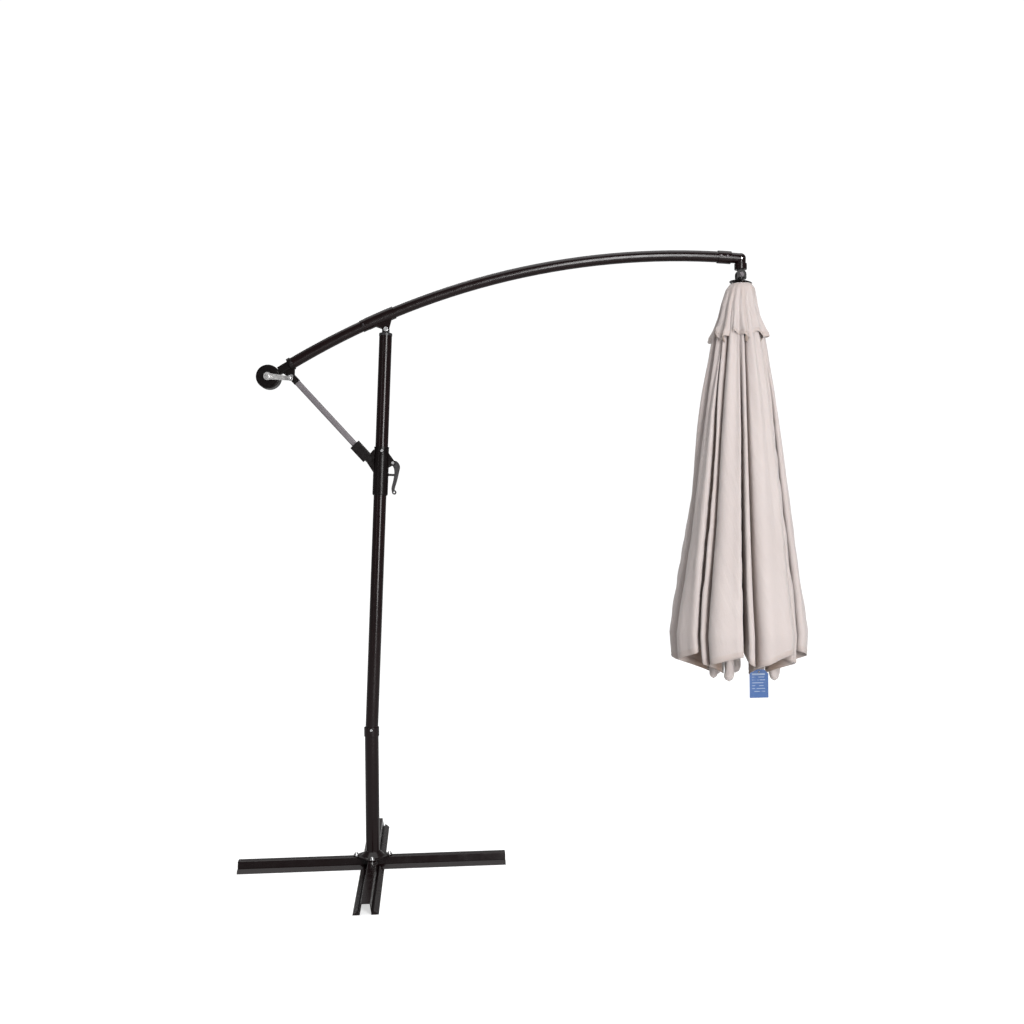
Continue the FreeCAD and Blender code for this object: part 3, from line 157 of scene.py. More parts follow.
def powder_coat(name, deep, warm, rough, peel=0.00012):
    """Stove-baked powder: orange peel, slightly uneven gloss and fine pale dust specks."""
    f = Finish(name)
    f.constant("Specular IOR Level", 0.22)
    f.constant("Coat Weight", 0.04)
    f.constant("Coat Roughness", 0.12)
    patches = f.noise(7.0, 2.0)
    dust = f.spread(f.noise(420.0, 5.0, rough=0.7), 0.62, 0.80)
    base = f.blend(patches, deep, warm)
    f.colour(f.blend(f.maths("MULTIPLY", dust, 0.012), base, (0.19, 0.165, 0.15)))
    f.roughness(f.spread(f.noise(24.0, 4.0), 0.3, 0.7, rough - 0.05, rough + 0.08))
    f.bump(f.noise(240.0, 1.0), peel, 0.012)
    return f.material


def moulded(name, deep, pale, rough, grain=900.0, depth=0.00008, sheen=0.5):
    """Moulded nylon or polypropylene with a spark-eroded skin."""
    f = Finish(name)
    f.constant("Specular IOR Level", sheen)
    cells = f.node("ShaderNodeTexVoronoi", Scale=grain)
    f.link(f.place, cells.inputs["Vector"])
    f.colour(f.blend(f.noise(14.0, 4.0), deep, pale))
    f.roughness(f.spread(f.noise(60.0, 3.0), 0.3, 0.7, rough - 0.06, rough + 0.08))
    f.bump(cells.outputs["Distance"], depth, 0.3)
    f.bump(f.noise(38.0, 2.0), 0.0003, 0.25)
    return f.material


def bare_metal(name, deep, pale, rough, along, scale=160.0, depth=0.00006):
    """Metal with drawn or turned marks along one direction and a soft bloom."""
    f = Finish(name)
    f.constant("Metallic", 1.0)
    marks = f.noise(scale, 4.0, f.stretched(along))
    bloom = f.noise(18.0, 4.0)
    f.colour(f.blend(f.maths("MULTIPLY", marks, bloom), deep, pale))
    f.roughness(f.spread(marks, 0.3, 0.75, rough - 0.07, rough + 0.12))
    f.bump(marks, depth, 0.7)
    return f.material


def painted_bar(name):
    """Grey lacquer over a rolled bar, with faint rolling lines."""
    f = Finish(name)
    f.constant("Specular IOR Level", 0.5)
    f.constant("Metallic", 0.35)
    lines = f.noise(26.0, 3.0, f.stretched((1.0, 9.0, 1.0)))
    f.colour(f.blend(lines, (0.115, 0.104, 0.112), (0.160, 0.146, 0.155)))
    f.roughness(f.spread(f.noise(40.0, 3.0), 0.3, 0.7, 0.34, 0.5))
    f.bump(lines, 0.00005, 0.2)
    return f.material


def canopy_weave(name, light, shade, tint, painted_fold_shade=None):
    """Plain-woven polyester read off the cut pattern: yarns, slubs, creases, seams and a turned hem, and, when
    asked, brown painted shade deep in the folds.
    """
    f = Finish(name, uv="cut")
    f.constant("Sheen Weight", 0.25)
    f.constant("Sheen Roughness", 0.45)
    f.constant("Specular IOR Level", 0.25)
    f.constant("Subsurface Weight", 0.12)
    f.constant("Subsurface Radius", (0.012, 0.009, 0.007))
    yarns = []
    for direction in ("X", "Y"):
        wave = f.node("ShaderNodeTexWave", Scale=300.0, Distortion=0.6, Detail=1.0)
        wave.bands_direction = direction
        f.link(f.place, wave.inputs["Vector"])
        yarns.append(wave.outputs["Fac"])
    weave = f.maths("MULTIPLY", yarns[0], yarns[1])
    slubs = f.noise(130.0, 4.0, f.stretched((6.0, 0.5, 1.0)))
    cloudy = f.noise(3.2, 4.0)
    creases = f.noise(5.0, 5.0, f.stretched((9.0, 1.3, 1.0)), 0.62)
    folded = f.noise(2.2, 3.0, f.stretched((1.0, 5.0, 1.0)))
    edge = f.node("ShaderNodeUVMap")
    edge.uv_map = "edge"
    parts = f.node("ShaderNodeSeparateXYZ")
    f.link(edge.outputs["UV"], parts.inputs["Vector"])
    seam = f.spread(parts.outputs["X"], 0.007, 0.0105, 1.0, 0.0)
    hem = f.spread(parts.outputs["Y"], 0.020, 0.024, 1.0, 0.0)
    doubled = f.maths("MAXIMUM", seam, hem)
    base = f.blend(cloudy, light, shade)
    base = f.blend(f.maths("MULTIPLY", slubs, 0.22), base, tint)
    base = f.blend(f.maths("MULTIPLY", doubled, 0.28), base, tint)
    # Painted shade: where the cloth lies deep in a fold (a low share on the 'fold' map), its colour is blended
    # towards a brown shade tone.
    if painted_fold_shade:
        fold = f.node("ShaderNodeUVMap")
        fold.uv_map = "fold"
        depth = f.node("ShaderNodeSeparateXYZ")
        f.link(fold.outputs["UV"], depth.inputs["Vector"])
        base = f.blend(f.spread(depth.outputs["X"], 0.66, 0.93, 0.85, 0.0), base, painted_fold_shade)
    f.colour(f.blend(f.spread(weave, 0.0, 1.0, 0.10, 0.0), base, shade))
    f.roughness(f.spread(slubs, 0.3, 0.7, 0.72, 0.88))
    f.bump(creases, 0.008, 0.35)
    f.bump(folded, 0.004, 0.35)
    f.bump(doubled, 0.0012, 0.7)
    f.bump(weave, 0.00025, 0.55)
    return f.material


def tag_print(name):
    """Coated card in plain blue with pale generic rules."""
    f = Finish(name)
    f.constant("Coat Weight", 0.12)
    lo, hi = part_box("hang_tag")
    parts = f.node("ShaderNodeSeparateXYZ")
    f.link(f.place, parts.inputs["Vector"])
    height = f.spread(parts.outputs["Z"], lo.z, hi.z)
    across = f.spread(parts.outputs["X"], lo.x, hi.x)
    rows = f.maths("SINE", f.maths("MULTIPLY", height, 62.0), 0.0)
    rules = f.spread(rows, 0.55, 0.8)
    field = f.maths("MULTIPLY", f.spread(height, 0.16, 0.18), f.spread(height, 0.74, 0.76, 1.0, 0.0))
    inside = f.maths("MULTIPLY", f.spread(across, 0.12, 0.15), f.spread(across, 0.80, 0.84, 1.0, 0.0))
    ragged = f.spread(f.noise(60.0, 2.0), 0.42, 0.5)
    printed = f.maths("MULTIPLY", f.maths("MULTIPLY", rules, field), f.maths("MULTIPLY", inside, ragged))
    band = f.maths("MULTIPLY", f.spread(height, 0.80, 0.81), f.spread(height, 0.86, 0.87, 1.0, 0.0))
    mark = f.maths("MAXIMUM", printed, f.maths("MULTIPLY", band, inside))
    blue = f.blend(f.noise(8.0, 3.0), (0.0080, 0.056, 0.20), (0.013, 0.076, 0.245))
    f.colour(f.blend(f.maths("MULTIPLY", mark, 0.55), blue, (0.341, 0.409, 0.496)))
    f.roughness(f.spread(f.noise(30.0, 3.0), 0.3, 0.7, 0.28, 0.4))
    f.bump(f.noise(500.0, 3.0), 0.00005, 0.4)
    return f.material


frame_coat = powder_coat("frame_powder_coat", (0.0038, 0.0010, 0.0012), (0.0070, 0.0022, 0.0024), 0.19)
base_coat = powder_coat("base_powder_coat", (0.0036, 0.0014, 0.0016), (0.0066, 0.0028, 0.0030), 0.22)
rib_coat = powder_coat("rib_powder_coat", (0.006, 0.005, 0.005), (0.011, 0.009, 0.009), 0.42)
black_moulding = moulded("black_moulding", (0.0022, 0.0013, 0.0014), (0.0046, 0.0028, 0.0028), 0.28, sheen=0.16)
lever_moulding = moulded("lever_moulding", (0.015, 0.014, 0.015), (0.028, 0.026, 0.028), 0.33, sheen=0.35)
shoe_moulding = moulded("shoe_moulding", (0.0024, 0.0015, 0.0016), (0.0050, 0.0032, 0.0033), 0.32, sheen=0.18)
white_moulding = moulded("white_moulding", (0.62, 0.60, 0.56), (0.74, 0.72, 0.68), 0.4)
pad_rubber = moulded("pad_rubber", (0.010, 0.010, 0.010), (0.02, 0.02, 0.02), 0.75, 500.0, 0.0002, 0.3)
strut_lacquer = painted_bar("strut_lacquer")
zinc_plate = bare_metal("zinc_plate", (0.42, 0.42, 0.43), (0.78, 0.78, 0.77), 0.26, (1.0, 1.0, 6.0))
dark_zinc = bare_metal("dark_zinc", (0.030, 0.027, 0.029), (0.095, 0.088, 0.092), 0.34, (2.0, 2.0, 2.0))
cast_alloy = bare_metal("cast_alloy", (0.56, 0.55, 0.545), (0.72, 0.71, 0.70), 0.32, (2.0, 2.0, 2.0),
                        220.0, 0.0001)
CLOTH_TONES = (0.500, 0.452, 0.438), (0.425, 0.376, 0.366), (0.38, 0.30, 0.26)
canopy_cloth_finish = canopy_weave("canopy_weave", *CLOTH_TONES)
tag_card = tag_print("tag_card")
sewing_thread = moulded("sewing_thread", (0.42, 0.36, 0.335), (0.50, 0.44, 0.41), 0.6, 1500.0, 0.0001, 0.3)
# The cover's cloth gets brown painted shade in its deep folds and in the valleys at the ribs.
cover_finish = canopy_weave("cover_weave", *CLOTH_TONES, painted_fold_shade=(0.215, 0.140, 0.098))
tab_webbing = canopy_weave("tab_webbing", (0.36, 0.29, 0.25), (0.30, 0.235, 0.20), (0.24, 0.185, 0.15))

FINISHES = {
    "base_long_bar base_leg_pair base_plate": base_coat,
    "lower_pole pole_collar main_pole arm_bracket arm_tube tail_tube arm_joint_collar head_elbow": frame_coat,
    "slider_body slider_bush swivel_link tail_bracket drum_shell_front drum_shell_rear": black_moulding,
    "cap_dish crown_hub runner rib_tips": black_moulding,
    "pole_top_insert lever": lever_moulding,
    "strut_shoe strut_knuckle": shoe_moulding,
    "strut_bar": strut_lacquer,
    "cord_pulley cord_spool": white_moulding,
    "lever_plunger": pad_rubber,
    "crank_arm crank_cap ratchet_wheel ratchet_pawl": cast_alloy,
    "crank_knob lever_spring strut_head_pin drum_screws pulley_pin crank_shaft": zinc_plate,
    "base_fasteners pole_collar_screw arm_pivot_bolt arm_pivot_nut": zinc_plate,
    "slider_screw strut_foot_pin lever_pin": zinc_plate,
    "link_bolt arm_screws": dark_zinc,
    "rib_1 rib_2 rib_3 rib_4 rib_5 rib_6 rib_7 rib_8 stretchers": rib_coat,
    "hang_tag": tag_card,
}


def dress(name, material):
    nodes[name].data.materials.clear()
    nodes[name].data.materials.append(material)


for names, finish in FINISHES.items():
    for each in names.split():
        dress(each, finish)


# ---------------------------------------------------------------- mesh helpers

def piece(name, verts, faces, material, smooth=True):
    mesh = bpy.data.meshes.new(name)
    mesh.from_pydata(verts, [], faces)
    mesh.materials.append(material)
    if smooth:
        mesh.shade_smooth()
    made = bpy.data.objects.new(name, mesh)
    bpy.context.scene.collection.objects.link(made)
    return made


def between(stops, at):
    """Straight interpolation in a list of (place, value) stops."""
    for (a, u), (b, v) in zip(stops, stops[1:]):
        if at <= b:
            return u + (v - u) * max(0.0, at - a) / (b - a)
    return stops[-1][1]


def smooth_line(points, steps):
    """A centripetal-looking curve through the points, steps samples a span."""
    line = []
    for i in range(len(points) - 1):
        a = points[max(i - 1, 0)]
        b, c = points[i], points[i + 1]
        d = points[min(i + 2, len(points) - 1)]
        for k in range(steps):
            t = k / steps
            line.append(tuple(
                0.5 * (2 * q + (r - p) * t + (2 * p - 5 * q + 4 * r - s) * t * t
                       + (3 * q - p - 3 * r + s) * t ** 3)
                for p, q, r, s in zip(a, b, c, d)))
    line.append(points[-1])
    return line


def evenly(line, count):
    """The line cut to count + 1 points, equally far apart along it."""
    run = [0.0]
    for a, b in zip(line, line[1:]):
        run.append(run[-1] + math.dist(a, b))
    cut, at = [], 0
    for k in range(count + 1):
        want = run[-1] * k / count
        while at < len(line) - 2 and run[at + 1] < want:
            at += 1
        share = (want - run[at]) / max(run[at + 1] - run[at], 1e-9)
        cut.append(tuple(p + (q - p) * share for p, q in zip(line[at], line[at + 1])))
    return cut


# ---------------------------------------------------------------- the furled canopy

cloth_lo, cloth_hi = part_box("canopy_cloth")
AXIS_X = (cloth_lo.x + cloth_hi.x) / 2
AXIS_Y = (cloth_lo.y + cloth_hi.y) / 2
TOP = cloth_hi.z - 0.004
RIB = 1.515
EAVE = RIB * math.cos(math.pi / 8)
HALF_HEM = RIB * math.sin(math.pi / 8)
GORE_ANGLE = math.pi / 4
CLOTH_THICKNESS = 0.0014
POCKET_THICKNESS = 0.0012
WEBBING_THICKNESS = 0.0018

OUTLINE = [
    (0.0, 0.040), (0.06, 0.062), (0.13, 0.078), (0.205, 0.095), (0.30, 0.110), (0.42, 0.131),
    (0.52, 0.145), (0.75, 0.174), (1.0, 0.207), (1.2, 0.236), (1.36, 0.260), (1.515, 0.250)]


def outer(dist):
    return between(OUTLINE, dist)


def slump(dist):
    """How far the loose cloth hangs towards the mast at this distance from the crown."""
    return 0.008 * min(1.0, dist / 0.08) + 0.011 * dist


def rib_radius(dist):
    return 0.034 + 0.094 * dist / RIB


class Gore:
    """One of the eight cut panels: where its fold stands and which way the flap is wrapped."""

    def __init__(self, index, wrap, edge, bulge):
        self.middle = GORE_ANGLE * (index + 0.5)
        self.wrap, self.edge, self.bulge = wrap, edge, bulge
        self.seed = 3.7 * index

    def section(self, down):
        """Control points (turn across the gore, share of the radius) of the flap at this height."""
        dist = EAVE * down
        depth = min(1.0, max(0.0, (dist - 0.22) / 1.05))
        rib = rib_radius(dist) / outer(dist)
        deep = 0.90 - 0.62 * depth
        edge = self.edge * (0.35 + 0.65 * min(1.0, dist / 0.6))
        high = 1.0 - self.bulge
        tuck = 0.05 + 0.05 * depth
        rest = min(edge, 0.58)
        points = [
            (-1.0, rib), (-0.93, rib + 0.62 * (high - rib)), (-0.80, high * 0.965), (-0.45, high),
            (edge - 0.30, high * 1.0), (edge - 0.03, high * 0.998), (edge + 0.02, high * 0.975),
            (edge - 0.02, high * 0.935 - tuck * 0.3),
            (rest - 0.22, high * 0.90 - tuck * 0.5), (rest - 0.27, (high * 0.9 + deep) / 2 - 0.02),
            (rest - 0.22, deep), (rest - 0.14, deep), (rest - 0.11, (high * 0.86 + deep) / 2),
            (rest - 0.06, high * 0.86 - tuck), (rest + 0.0, high * 0.84 - tuck),
            (rest + 0.03, (high * 0.84 + deep) / 2), (rest + 0.07, deep + 0.02),
            (rest + 0.13, deep + 0.03), (rest + 0.17, (high * 0.8 + deep) / 2), (rest + 0.22, high * 0.92),
            (0.45 * rest + 0.60, high * 0.975), (0.94, rib + 0.62 * (high - rib)), (1.0, rib)]
        return points

    def row(self, down, count):
        """Points of this gore at one height, evenly spread over the cloth: (angle, radius share)."""
        reach = outer(EAVE * down)
        flat = []
        for turn, share in smooth_line(self.section(down), 5):
            angle = GORE_ANGLE / 2 * turn
            flat.append((share * reach * math.sin(angle), share * reach * math.cos(angle)))
        line = evenly(flat, count)
        return [(self.wrap * math.atan2(x, y), math.hypot(x, y) / reach) for x, y in line]


GORES = [
    Gore(0, 1, 0.52, 0.02), Gore(1, -1, 0.42, 0.04), Gore(2, 1, 0.72, 0.02), Gore(3, -1, 0.46, 0.00),
    Gore(4, 1, 0.53, 0.015), Gore(5, 1, 0.40, 0.00), Gore(6, 1, 0.80, 0.01), Gore(7, -1, 0.56, 0.01)]

ROWS = 104
ACROSS = 50


def cloth_point(angle, share, dist):
    """A point of the hanging cloth, with the drift, soft pleats and slack of real fabric."""
    reach = outer(dist)
    loose = min(1.0, dist / 0.5)
    a = angle + 0.13 * loose * noise.noise(Vector((dist * 0.9, 3.0 + math.sin(angle), math.cos(angle) * 1.3)))
    seen = max(0.0, share - 0.6) * 2.5
    pleat = math.sin(17 * a + 2.4 * noise.noise(Vector((math.cos(a), math.sin(a), dist * 0.8))))
    pleat *= 0.0058 * min(1.0, dist / 0.25) * (1.2 - 0.85 * dist / RIB)
    ripple = noise.noise(Vector((math.cos(a) * 3.1, math.sin(a) * 3.1, dist * 1.9)))
    fine = noise.noise(Vector((math.cos(a) * 12, math.sin(a) * 12, dist * 3.2)))
    r = share * reach + seen * (pleat + (0.012 * ripple + 0.004 * fine) * loose)
    return Vector((AXIS_X + r * math.cos(a) - slump(dist), AXIS_Y + r * math.sin(a), TOP - dist * 0.985))


def cloth_row(down):
    """One ring of the cloth: its points, and for each its place on the cut cloth, its distance from
    seam and hem, and how deep it lies in a fold."""
    points, cut, edge, fold = [], [], [], []
    for gore in GORES:
        line = gore.row(max(down, 0.004), ACROSS)
        if gore.wrap < 0:
            line = line[::-1]
        for j, (turn, share) in enumerate(line[:-1]):
            t = 2 * j / ACROSS - 1
            points.append(cloth_point(gore.middle + turn, share, down * math.hypot(EAVE, HALF_HEM * t)))
            cut.append((down * HALF_HEM * t + gore.seed, down * EAVE))
            edge.append((down * HALF_HEM * (1 - abs(t)), EAVE * (1 - down)))
            fold.append((share, down))
    return points, cut, edge, fold


def ring_faces(rows, ring):
    return [(i * ring + j, (i + 1) * ring + j, (i + 1) * ring + (j + 1) % ring, i * ring + (j + 1) % ring)
            for i in range(rows) for j in range(ring)]


def lay_out(made, **maps):
    """UV maps from one value a vertex."""
    for name, values in maps.items():
        layer = made.data.uv_layers.new(name=name)
        for loop in made.data.loops:
            layer.data[loop.index].uv = values[loop.vertex_index]


def give_thickness(made, thickness=CLOTH_THICKNESS):
    wall = made.modifiers.new("cloth", "SOLIDIFY")
    wall.thickness = thickness
    wall.offset = 0.0


def furled_canopy():
    """The whole cover as one sheet, rib to rib, eight flaps round."""
    verts, cut, edge, fold = [], [], [], []
    for i in range(ROWS + 1):
        points, places, edges, folds = cloth_row(i / ROWS)
        verts += points
        cut += places
        edge += edges
        fold += folds
    made = piece("canopy_cover", verts, ring_faces(ROWS, len(GORES) * ACROSS), cover_finish)
    lay_out(made, cut=cut, edge=edge, fold=fold)
    give_thickness(made)
    return made


cover = furled_canopy()
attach(cover, "canopy")
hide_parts("canopy_cloth")


VENT = 0.218
VENT_HALF_HEM = 0.085
POCKET_START = RIB - 0.092
POCKET_LENGTH = 0.100
TAB_HALF_WIDTH = 0.0065
TAB_LENGTH = 0.030
TAB_OVERLAP = 0.012
VENT_OUTLINE = [(0, 0.0415), (0.02, 0.056), (0.07, 0.069), (0.13, 0.082), (0.18, 0.099), (0.23, 0.124)]


def vent_point(angle, dist, lift=0.0):
    """A point of the upper tier; lift stands it off the cloth."""
    down = dist / VENT
    flap = 0.5 + 0.5 * math.cos(13 * angle + 1.8 * math.sin(3 * angle) + 0.8)
    wobble = noise.noise(Vector((math.cos(angle) * 2.3, math.sin(angle) * 2.3, dist * 6)))
    crinkle = noise.noise(Vector((math.cos(angle) * 9, math.sin(angle) * 9, dist * 14)))
    r = between(VENT_OUTLINE, dist) + lift
    r += -0.017 * down * (1 - flap) + down * (0.014 * wobble + 0.004 * crinkle)
    roll = 0.006 * max(0.0, (down - 0.93) / 0.07)
    drop = dist * 0.99 + down * down * (0.026 * wobble - 0.010 * flap)
    x = AXIS_X - slump(dist) + (r - roll) * math.cos(angle)
    return Vector((x, AXIS_Y + (r - roll) * math.sin(angle), TOP + 0.004 - drop))


def vent_cover():
    """The small second tier over the crown, with its own loose folds and wavy hem."""
    rows, across = 40, 26
    verts, cut, edge = [], [], []
    for i in range(rows + 1):
        down = i / rows
        for j in range(8 * across):
            t = 2 * (j % across) / across - 1
            verts.append(vent_point(2 * math.pi * j / (8 * across), VENT * down))
            cut.append((down * VENT_HALF_HEM * t + 0.9 * (j // across), VENT * down))
            edge.append((down * VENT_HALF_HEM * (1 - abs(t)), VENT * (1 - down)))
    made = piece("vent_cover", verts, ring_faces(rows, 8 * across), canopy_cloth_finish)
    lay_out(made, cut=cut, edge=edge)
    give_thickness(made)
    return made


def rib_place(index, dist):
    """The middle of a rib, dist along it from the crown."""
    angle = GORE_ANGLE * index
    r = 0.030 + 0.094 * dist / RIB
    z = cloth_hi.z - 0.006 - dist * 0.998
    return Vector((AXIS_X + r * math.cos(angle), AXIS_Y + r * math.sin(angle), z)), angle


def rib_pockets():
    """The sewn pockets that the rib ends stand in, puckered and sagging a little."""
    verts, faces, cut, edge = [], [], [], []
    rows, ring = 14, 20
    for index in range(8):
        first = len(verts)
        for i in range(rows + 1):
            down = i / rows
            middle, angle = rib_place(index, POCKET_START + POCKET_LENGTH * down)
            close = math.sqrt(max(0.0, 1 - max(0.0, (down - 0.8) / 0.2) ** 2.2))
            wide = (0.0125 + 0.0065 * math.sin(down * math.pi * 0.9)) * max(close, 0.02)
            deep = (0.0135 + 0.003 * math.sin(down * math.pi)) * max(close, 0.02)
            for j in range(ring):
                turn = 2 * math.pi * j / ring
                round_it = Vector((math.cos(turn) * 1.7 + 5 * index, math.sin(turn) * 1.7, down * 3.4))
                pucker = 1 + 0.22 * noise.noise(round_it)
                out, side = deep * math.cos(turn) * pucker, wide * math.sin(turn) * pucker
                out += 0.004 * noise.noise(Vector((index * 3.3, down * 4, 1.0)))
                x = out * math.cos(angle) - side * math.sin(angle)
                y = out * math.sin(angle) + side * math.cos(angle)
                verts.append(middle + Vector((x, y, 0)))
                cut.append((0.1 * j / ring + index, 0.1 * down))
                edge.append((0.05, 0.1 * down if down < 0.5 else 0.05))
        faces += [tuple(first + k for k in face) for face in ring_faces(rows, ring)]
        faces.append(tuple(first + rows * ring + j for j in range(ring))[::-1])
    made = piece("rib_pockets", verts, faces, canopy_cloth_finish)
    lay_out(made, cut=cut, edge=edge)
    give_thickness(made, POCKET_THICKNESS)
    return made


def vent_tabs():
    """Short webbing tabs that hold the upper tier down at each rib."""
    verts, faces, cut, edge = [], [], [], []
    steps = 8
    for index in range(8):
        angle = GORE_ANGLE * index + 0.12 * math.sin(index * 2.1)
        first = len(verts)
        for i in range(steps + 1):
            share = i / steps
            dist = VENT - TAB_OVERLAP + TAB_LENGTH * share
            for side in (-TAB_HALF_WIDTH, TAB_HALF_WIDTH):
                a = angle + side / 0.11
                top = vent_point(a, min(dist, VENT), 0.0016)
                sink = 0.016 * share ** 1.5
                z = top.z - max(0.0, dist - VENT)
                verts.append(Vector((top.x - sink * math.cos(a), top.y - sink * math.sin(a), z)))
                cut.append((side, dist))
                edge.append((0.0, 0.0))
        for i in range(steps):
            faces.append((first + 2 * i, first + 2 * i + 2, first + 2 * i + 3, first + 2 * i + 1))
    made = piece("vent_tabs", verts, faces, tab_webbing)
    lay_out(made, cut=cut, edge=edge)
    give_thickness(made, WEBBING_THICKNESS)
    return made


vent = vent_cover()
pockets = rib_pockets()
tabs = vent_tabs()
for each in (vent, pockets, tabs):
    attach(each, "canopy")
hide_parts("vent_cloth")


# ---------------------------------------------------------------- stitching

def stitch_tree(thread):
    """Geometry Nodes: short thread bars laid end to end along each drawn line."""
    tree = bpy.data.node_groups.new("stitch_line", "GeometryNodeTree")
    face = tree.interface
    face.new_socket("Seam line", in_out="INPUT", socket_type="NodeSocketGeometry")
    for name, value in (("Stitch spacing", 0.006), ("Stitch length", 0.0042), ("Thread width", 0.0011)):
        face.new_socket(name, in_out="INPUT", socket_type="NodeSocketFloat").default_value = value
    face.new_socket("Seed", in_out="INPUT", socket_type="NodeSocketInt").default_value = 11
    face.new_socket("Stitches", in_out="OUTPUT", socket_type="NodeSocketGeometry")
    new = tree.nodes.new
    start, end = new("NodeGroupInput"), new("NodeGroupOutput")
    curve, even = new("GeometryNodeMeshToCurve"), new("GeometryNodeResampleCurve")
    even.mode = "LENGTH"
    size, bar = new("ShaderNodeCombineXYZ"), new("GeometryNodeMeshCube")
    lay = new("GeometryNodeInstanceOnPoints")
    tangent, aim = new("GeometryNodeInputTangent"), new("FunctionNodeAlignRotationToVector")
    vary = new("FunctionNodeRandomValue")
    real, coat = new("GeometryNodeRealizeInstances"), new("GeometryNodeSetMaterial")
    aim.axis = "X"
    vary.inputs[2].default_value, vary.inputs[3].default_value = 0.85, 1.1
    coat.inputs["Material"].default_value = thread
    links = (
        (start.outputs["Seam line"], curve.inputs["Mesh"]), (curve.outputs["Curve"], even.inputs["Curve"]),
        (start.outputs["Stitch spacing"], even.inputs["Length"]), (even.outputs["Curve"], lay.inputs["Points"]),
        (start.outputs["Stitch length"], size.inputs["X"]), (start.outputs["Thread width"], size.inputs["Y"]),
        (start.outputs["Thread width"], size.inputs["Z"]), (size.outputs["Vector"], bar.inputs["Size"]),
        (bar.outputs["Mesh"], lay.inputs["Instance"]), (tangent.outputs["Tangent"], aim.inputs["Vector"]),
        (aim.outputs["Rotation"], lay.inputs["Rotation"]), (start.outputs["Seed"], vary.inputs["Seed"]),
        (vary.outputs[1], lay.inputs["Scale"]), (lay.outputs["Instances"], real.inputs["Geometry"]),
        (real.outputs["Geometry"], coat.inputs["Geometry"]), (coat.outputs["Geometry"], end.inputs["Stitches"]))
    for a, b in links:
        tree.links.new(a, b)
    return tree


def sewn(name, lines, tree, **sizes):
    """One plain mesh of the stitches along the lines; each line is a list of points."""
    verts, edges = [], []
    for line in lines:
        first = len(verts)
        verts += line
        edges += [(first + k, first + k + 1) for k in range(len(line) - 1)]
    mesh = bpy.data.meshes.new(name + "_line")
    mesh.from_pydata(verts, edges, [])
    drawn = bpy.data.objects.new(name + "_line", mesh)
    bpy.context.scene.collection.objects.link(drawn)
    run = drawn.modifiers.new("stitches", "NODES")
    run.node_group = tree
    for socket in tree.interface.items_tree:
        if socket.item_type == "SOCKET" and socket.in_out == "INPUT" and socket.name in sizes:
            run[socket.identifier] = sizes[socket.name]
    bpy.context.view_layer.update()
    made = bpy.data.meshes.new_from_object(drawn.evaluated_get(bpy.context.evaluated_depsgraph_get()))
    drawn.modifiers.remove(run)
    bpy.data.objects.remove(drawn)
    result = bpy.data.objects.new(name, made)
    bpy.context.scene.collection.objects.link(result)
    return result


def stood_off(points, gap):
    """The closed ring of points, each moved off the cloth by gap."""
    moved = []
    count = len(points)
    for k, here in enumerate(points):
        along = points[(k + 1) % count] - points[k - 1]
        moved.append(here + Vector((along.y, -along.x, 0)).normalized() * gap)
    return moved + moved[:1]


thread_tree = stitch_tree(sewing_thread)
STITCH_LIFT = 0.0012
hem_lines = [stood_off(cloth_row(1 - in_from / EAVE)[0], STITCH_LIFT) for in_from in (0.006, 0.018)]
hem_stitches = sewn("hem_stitches", hem_lines, thread_tree,
                    **{"Stitch spacing": 0.0075, "Stitch length": 0.005, "Seed": 3})
turns = [2 * math.pi * k / 240 for k in range(241)]
vent_lines = [[vent_point(a, VENT - in_from, STITCH_LIFT) for a in turns] for in_from in (0.005, 0.016)]
vent_stitches = sewn("vent_stitches", vent_lines, thread_tree, **{"Stitch spacing": 0.006, "Seed": 5})
for each in (hem_stitches, vent_stitches):
    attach(each, "canopy")


# ---------------------------------------------------------------- the hang tag and its tie

def tag_tie():
    """A moulded loop through the tag's hole and round the seam above it."""
    lo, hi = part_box("hang_tag")
    hole = Vector(((lo.x + hi.x) / 2, (lo.y + hi.y) / 2, hi.z - 0.009))
    top = rib_place(6, RIB - 0.012)[0] + Vector((0, -0.002, 0))
    middle = (hole + top) / 2
    half = (top - hole) / 2
    side = Vector((1, 0, 0))
    thick, ring, loop = 0.0009, 8, 36
    verts = []
    for k in range(loop):
        a = 2 * math.pi * k / loop
        spine = middle + half * math.cos(a) + side * 0.006 * math.sin(a)
        out = (half.normalized() * math.cos(a) + side * math.sin(a)).normalized()
        across = half.normalized().cross(side)
        for j in range(ring):
            b = 2 * math.pi * j / ring
            verts.append(spine + out * thick * math.cos(b) + across * thick * math.sin(b))
    faces = []
    for k in range(loop):
        here, after = k * ring, (k + 1) % loop * ring
        faces += [(here + j, here + (j + 1) % ring, after + (j + 1) % ring, after + j) for j in range(ring)]
    return piece("tag_tie", verts, faces, white_moulding)


tie = tag_tie()
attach(tie, "canopy")


# ---------------------------------------------------------------- floor and light

FLOOR_TONE = 0.55
FLOOR_GLOW = 0.02, 0.62
WORLD_LIGHT = 0.26, 1.05
OVERHEAD_STRENGTH = 1.8
OVERHEAD_SPREAD = math.radians(60)
LAMPS = (
    ("key", (2.0, -4.7, 2.1), (0.5, 0, 1.25), 1.1, 3.4, 285),
    ("fill", (-3.4, -4.4, 2.2), (0.6, 0, 1.2), 0.5, 2.8, 12),
    ("rim", (-0.8, 3.4, 4.6), (0.8, 0, 1.5), 2.0, 2.0, 60))


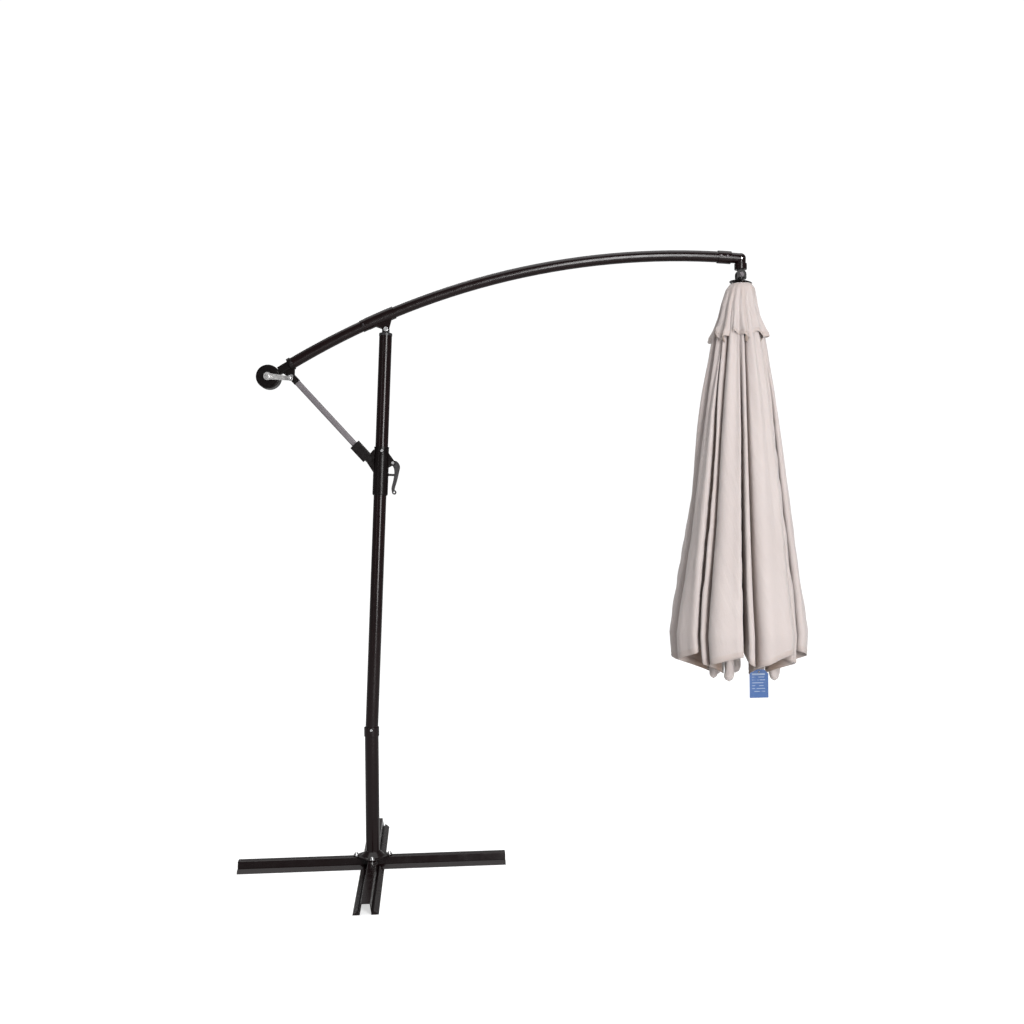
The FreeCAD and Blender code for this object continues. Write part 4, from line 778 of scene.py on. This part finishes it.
def brighter_when_seen(tree, levels, socket):
    """Feed the socket the first level as lighting and the second where the floor or sky is seen."""
    seen = tree.nodes.new("ShaderNodeLightPath")
    level = tree.nodes.new("ShaderNodeMapRange")
    level.inputs["To Min"].default_value, level.inputs["To Max"].default_value = levels
    tree.links.new(seen.outputs["Is Camera Ray"], level.inputs["Value"])
    tree.links.new(level.outputs["Result"], socket)


def pale_floor():
    paint = bpy.data.materials.new("pale_floor")
    paint.use_nodes = True
    shader = paint.node_tree.nodes["Principled BSDF"]
    shader.inputs["Base Color"].default_value = (FLOOR_TONE, FLOOR_TONE, FLOOR_TONE, 1)
    shader.inputs["Roughness"].default_value = 0.9
    shader.inputs["Specular IOR Level"].default_value = 0.0
    shader.inputs["Emission Color"].default_value = (1, 1, 1, 1)
    brighter_when_seen(paint.node_tree, FLOOR_GLOW, shader.inputs["Emission Strength"])
    left, near, right, back, height = -14, -14, 16, 16, -0.0015
    corners = [(left, near, height), (right, near, height), (right, back, height), (left, back, height)]
    piece("floor", corners, [(0, 1, 2, 3)], paint, False)


def studio():
    """A white room: a tall key from the front, a weak fill, a rim from behind and a soft sky."""
    world = bpy.data.worlds.new("studio")
    bpy.context.scene.world = world
    world.use_nodes = True
    sky = world.node_tree.nodes["Background"]
    sky.inputs["Color"].default_value = (1, 1, 1, 1)
    brighter_when_seen(world.node_tree, WORLD_LIGHT, sky.inputs["Strength"])
    for name, place, aim, wide, tall, watts in LAMPS:
        data = bpy.data.lights.new(name, "AREA")
        data.shape = "RECTANGLE"
        data.size = wide
        data.size_y = tall
        data.energy = watts
        lamp = bpy.data.objects.new(name, data)
        bpy.context.scene.collection.objects.link(lamp)
        lamp.location = place
        lamp.rotation_euler = (Vector(aim) - Vector(place)).to_track_quat("-Z", "Y").to_euler()
    above = bpy.data.lights.new("overhead", "SUN")
    above.energy = OVERHEAD_STRENGTH
    above.angle = OVERHEAD_SPREAD
    bpy.context.scene.collection.objects.link(bpy.data.objects.new("overhead", above))


pale_floor()
studio()
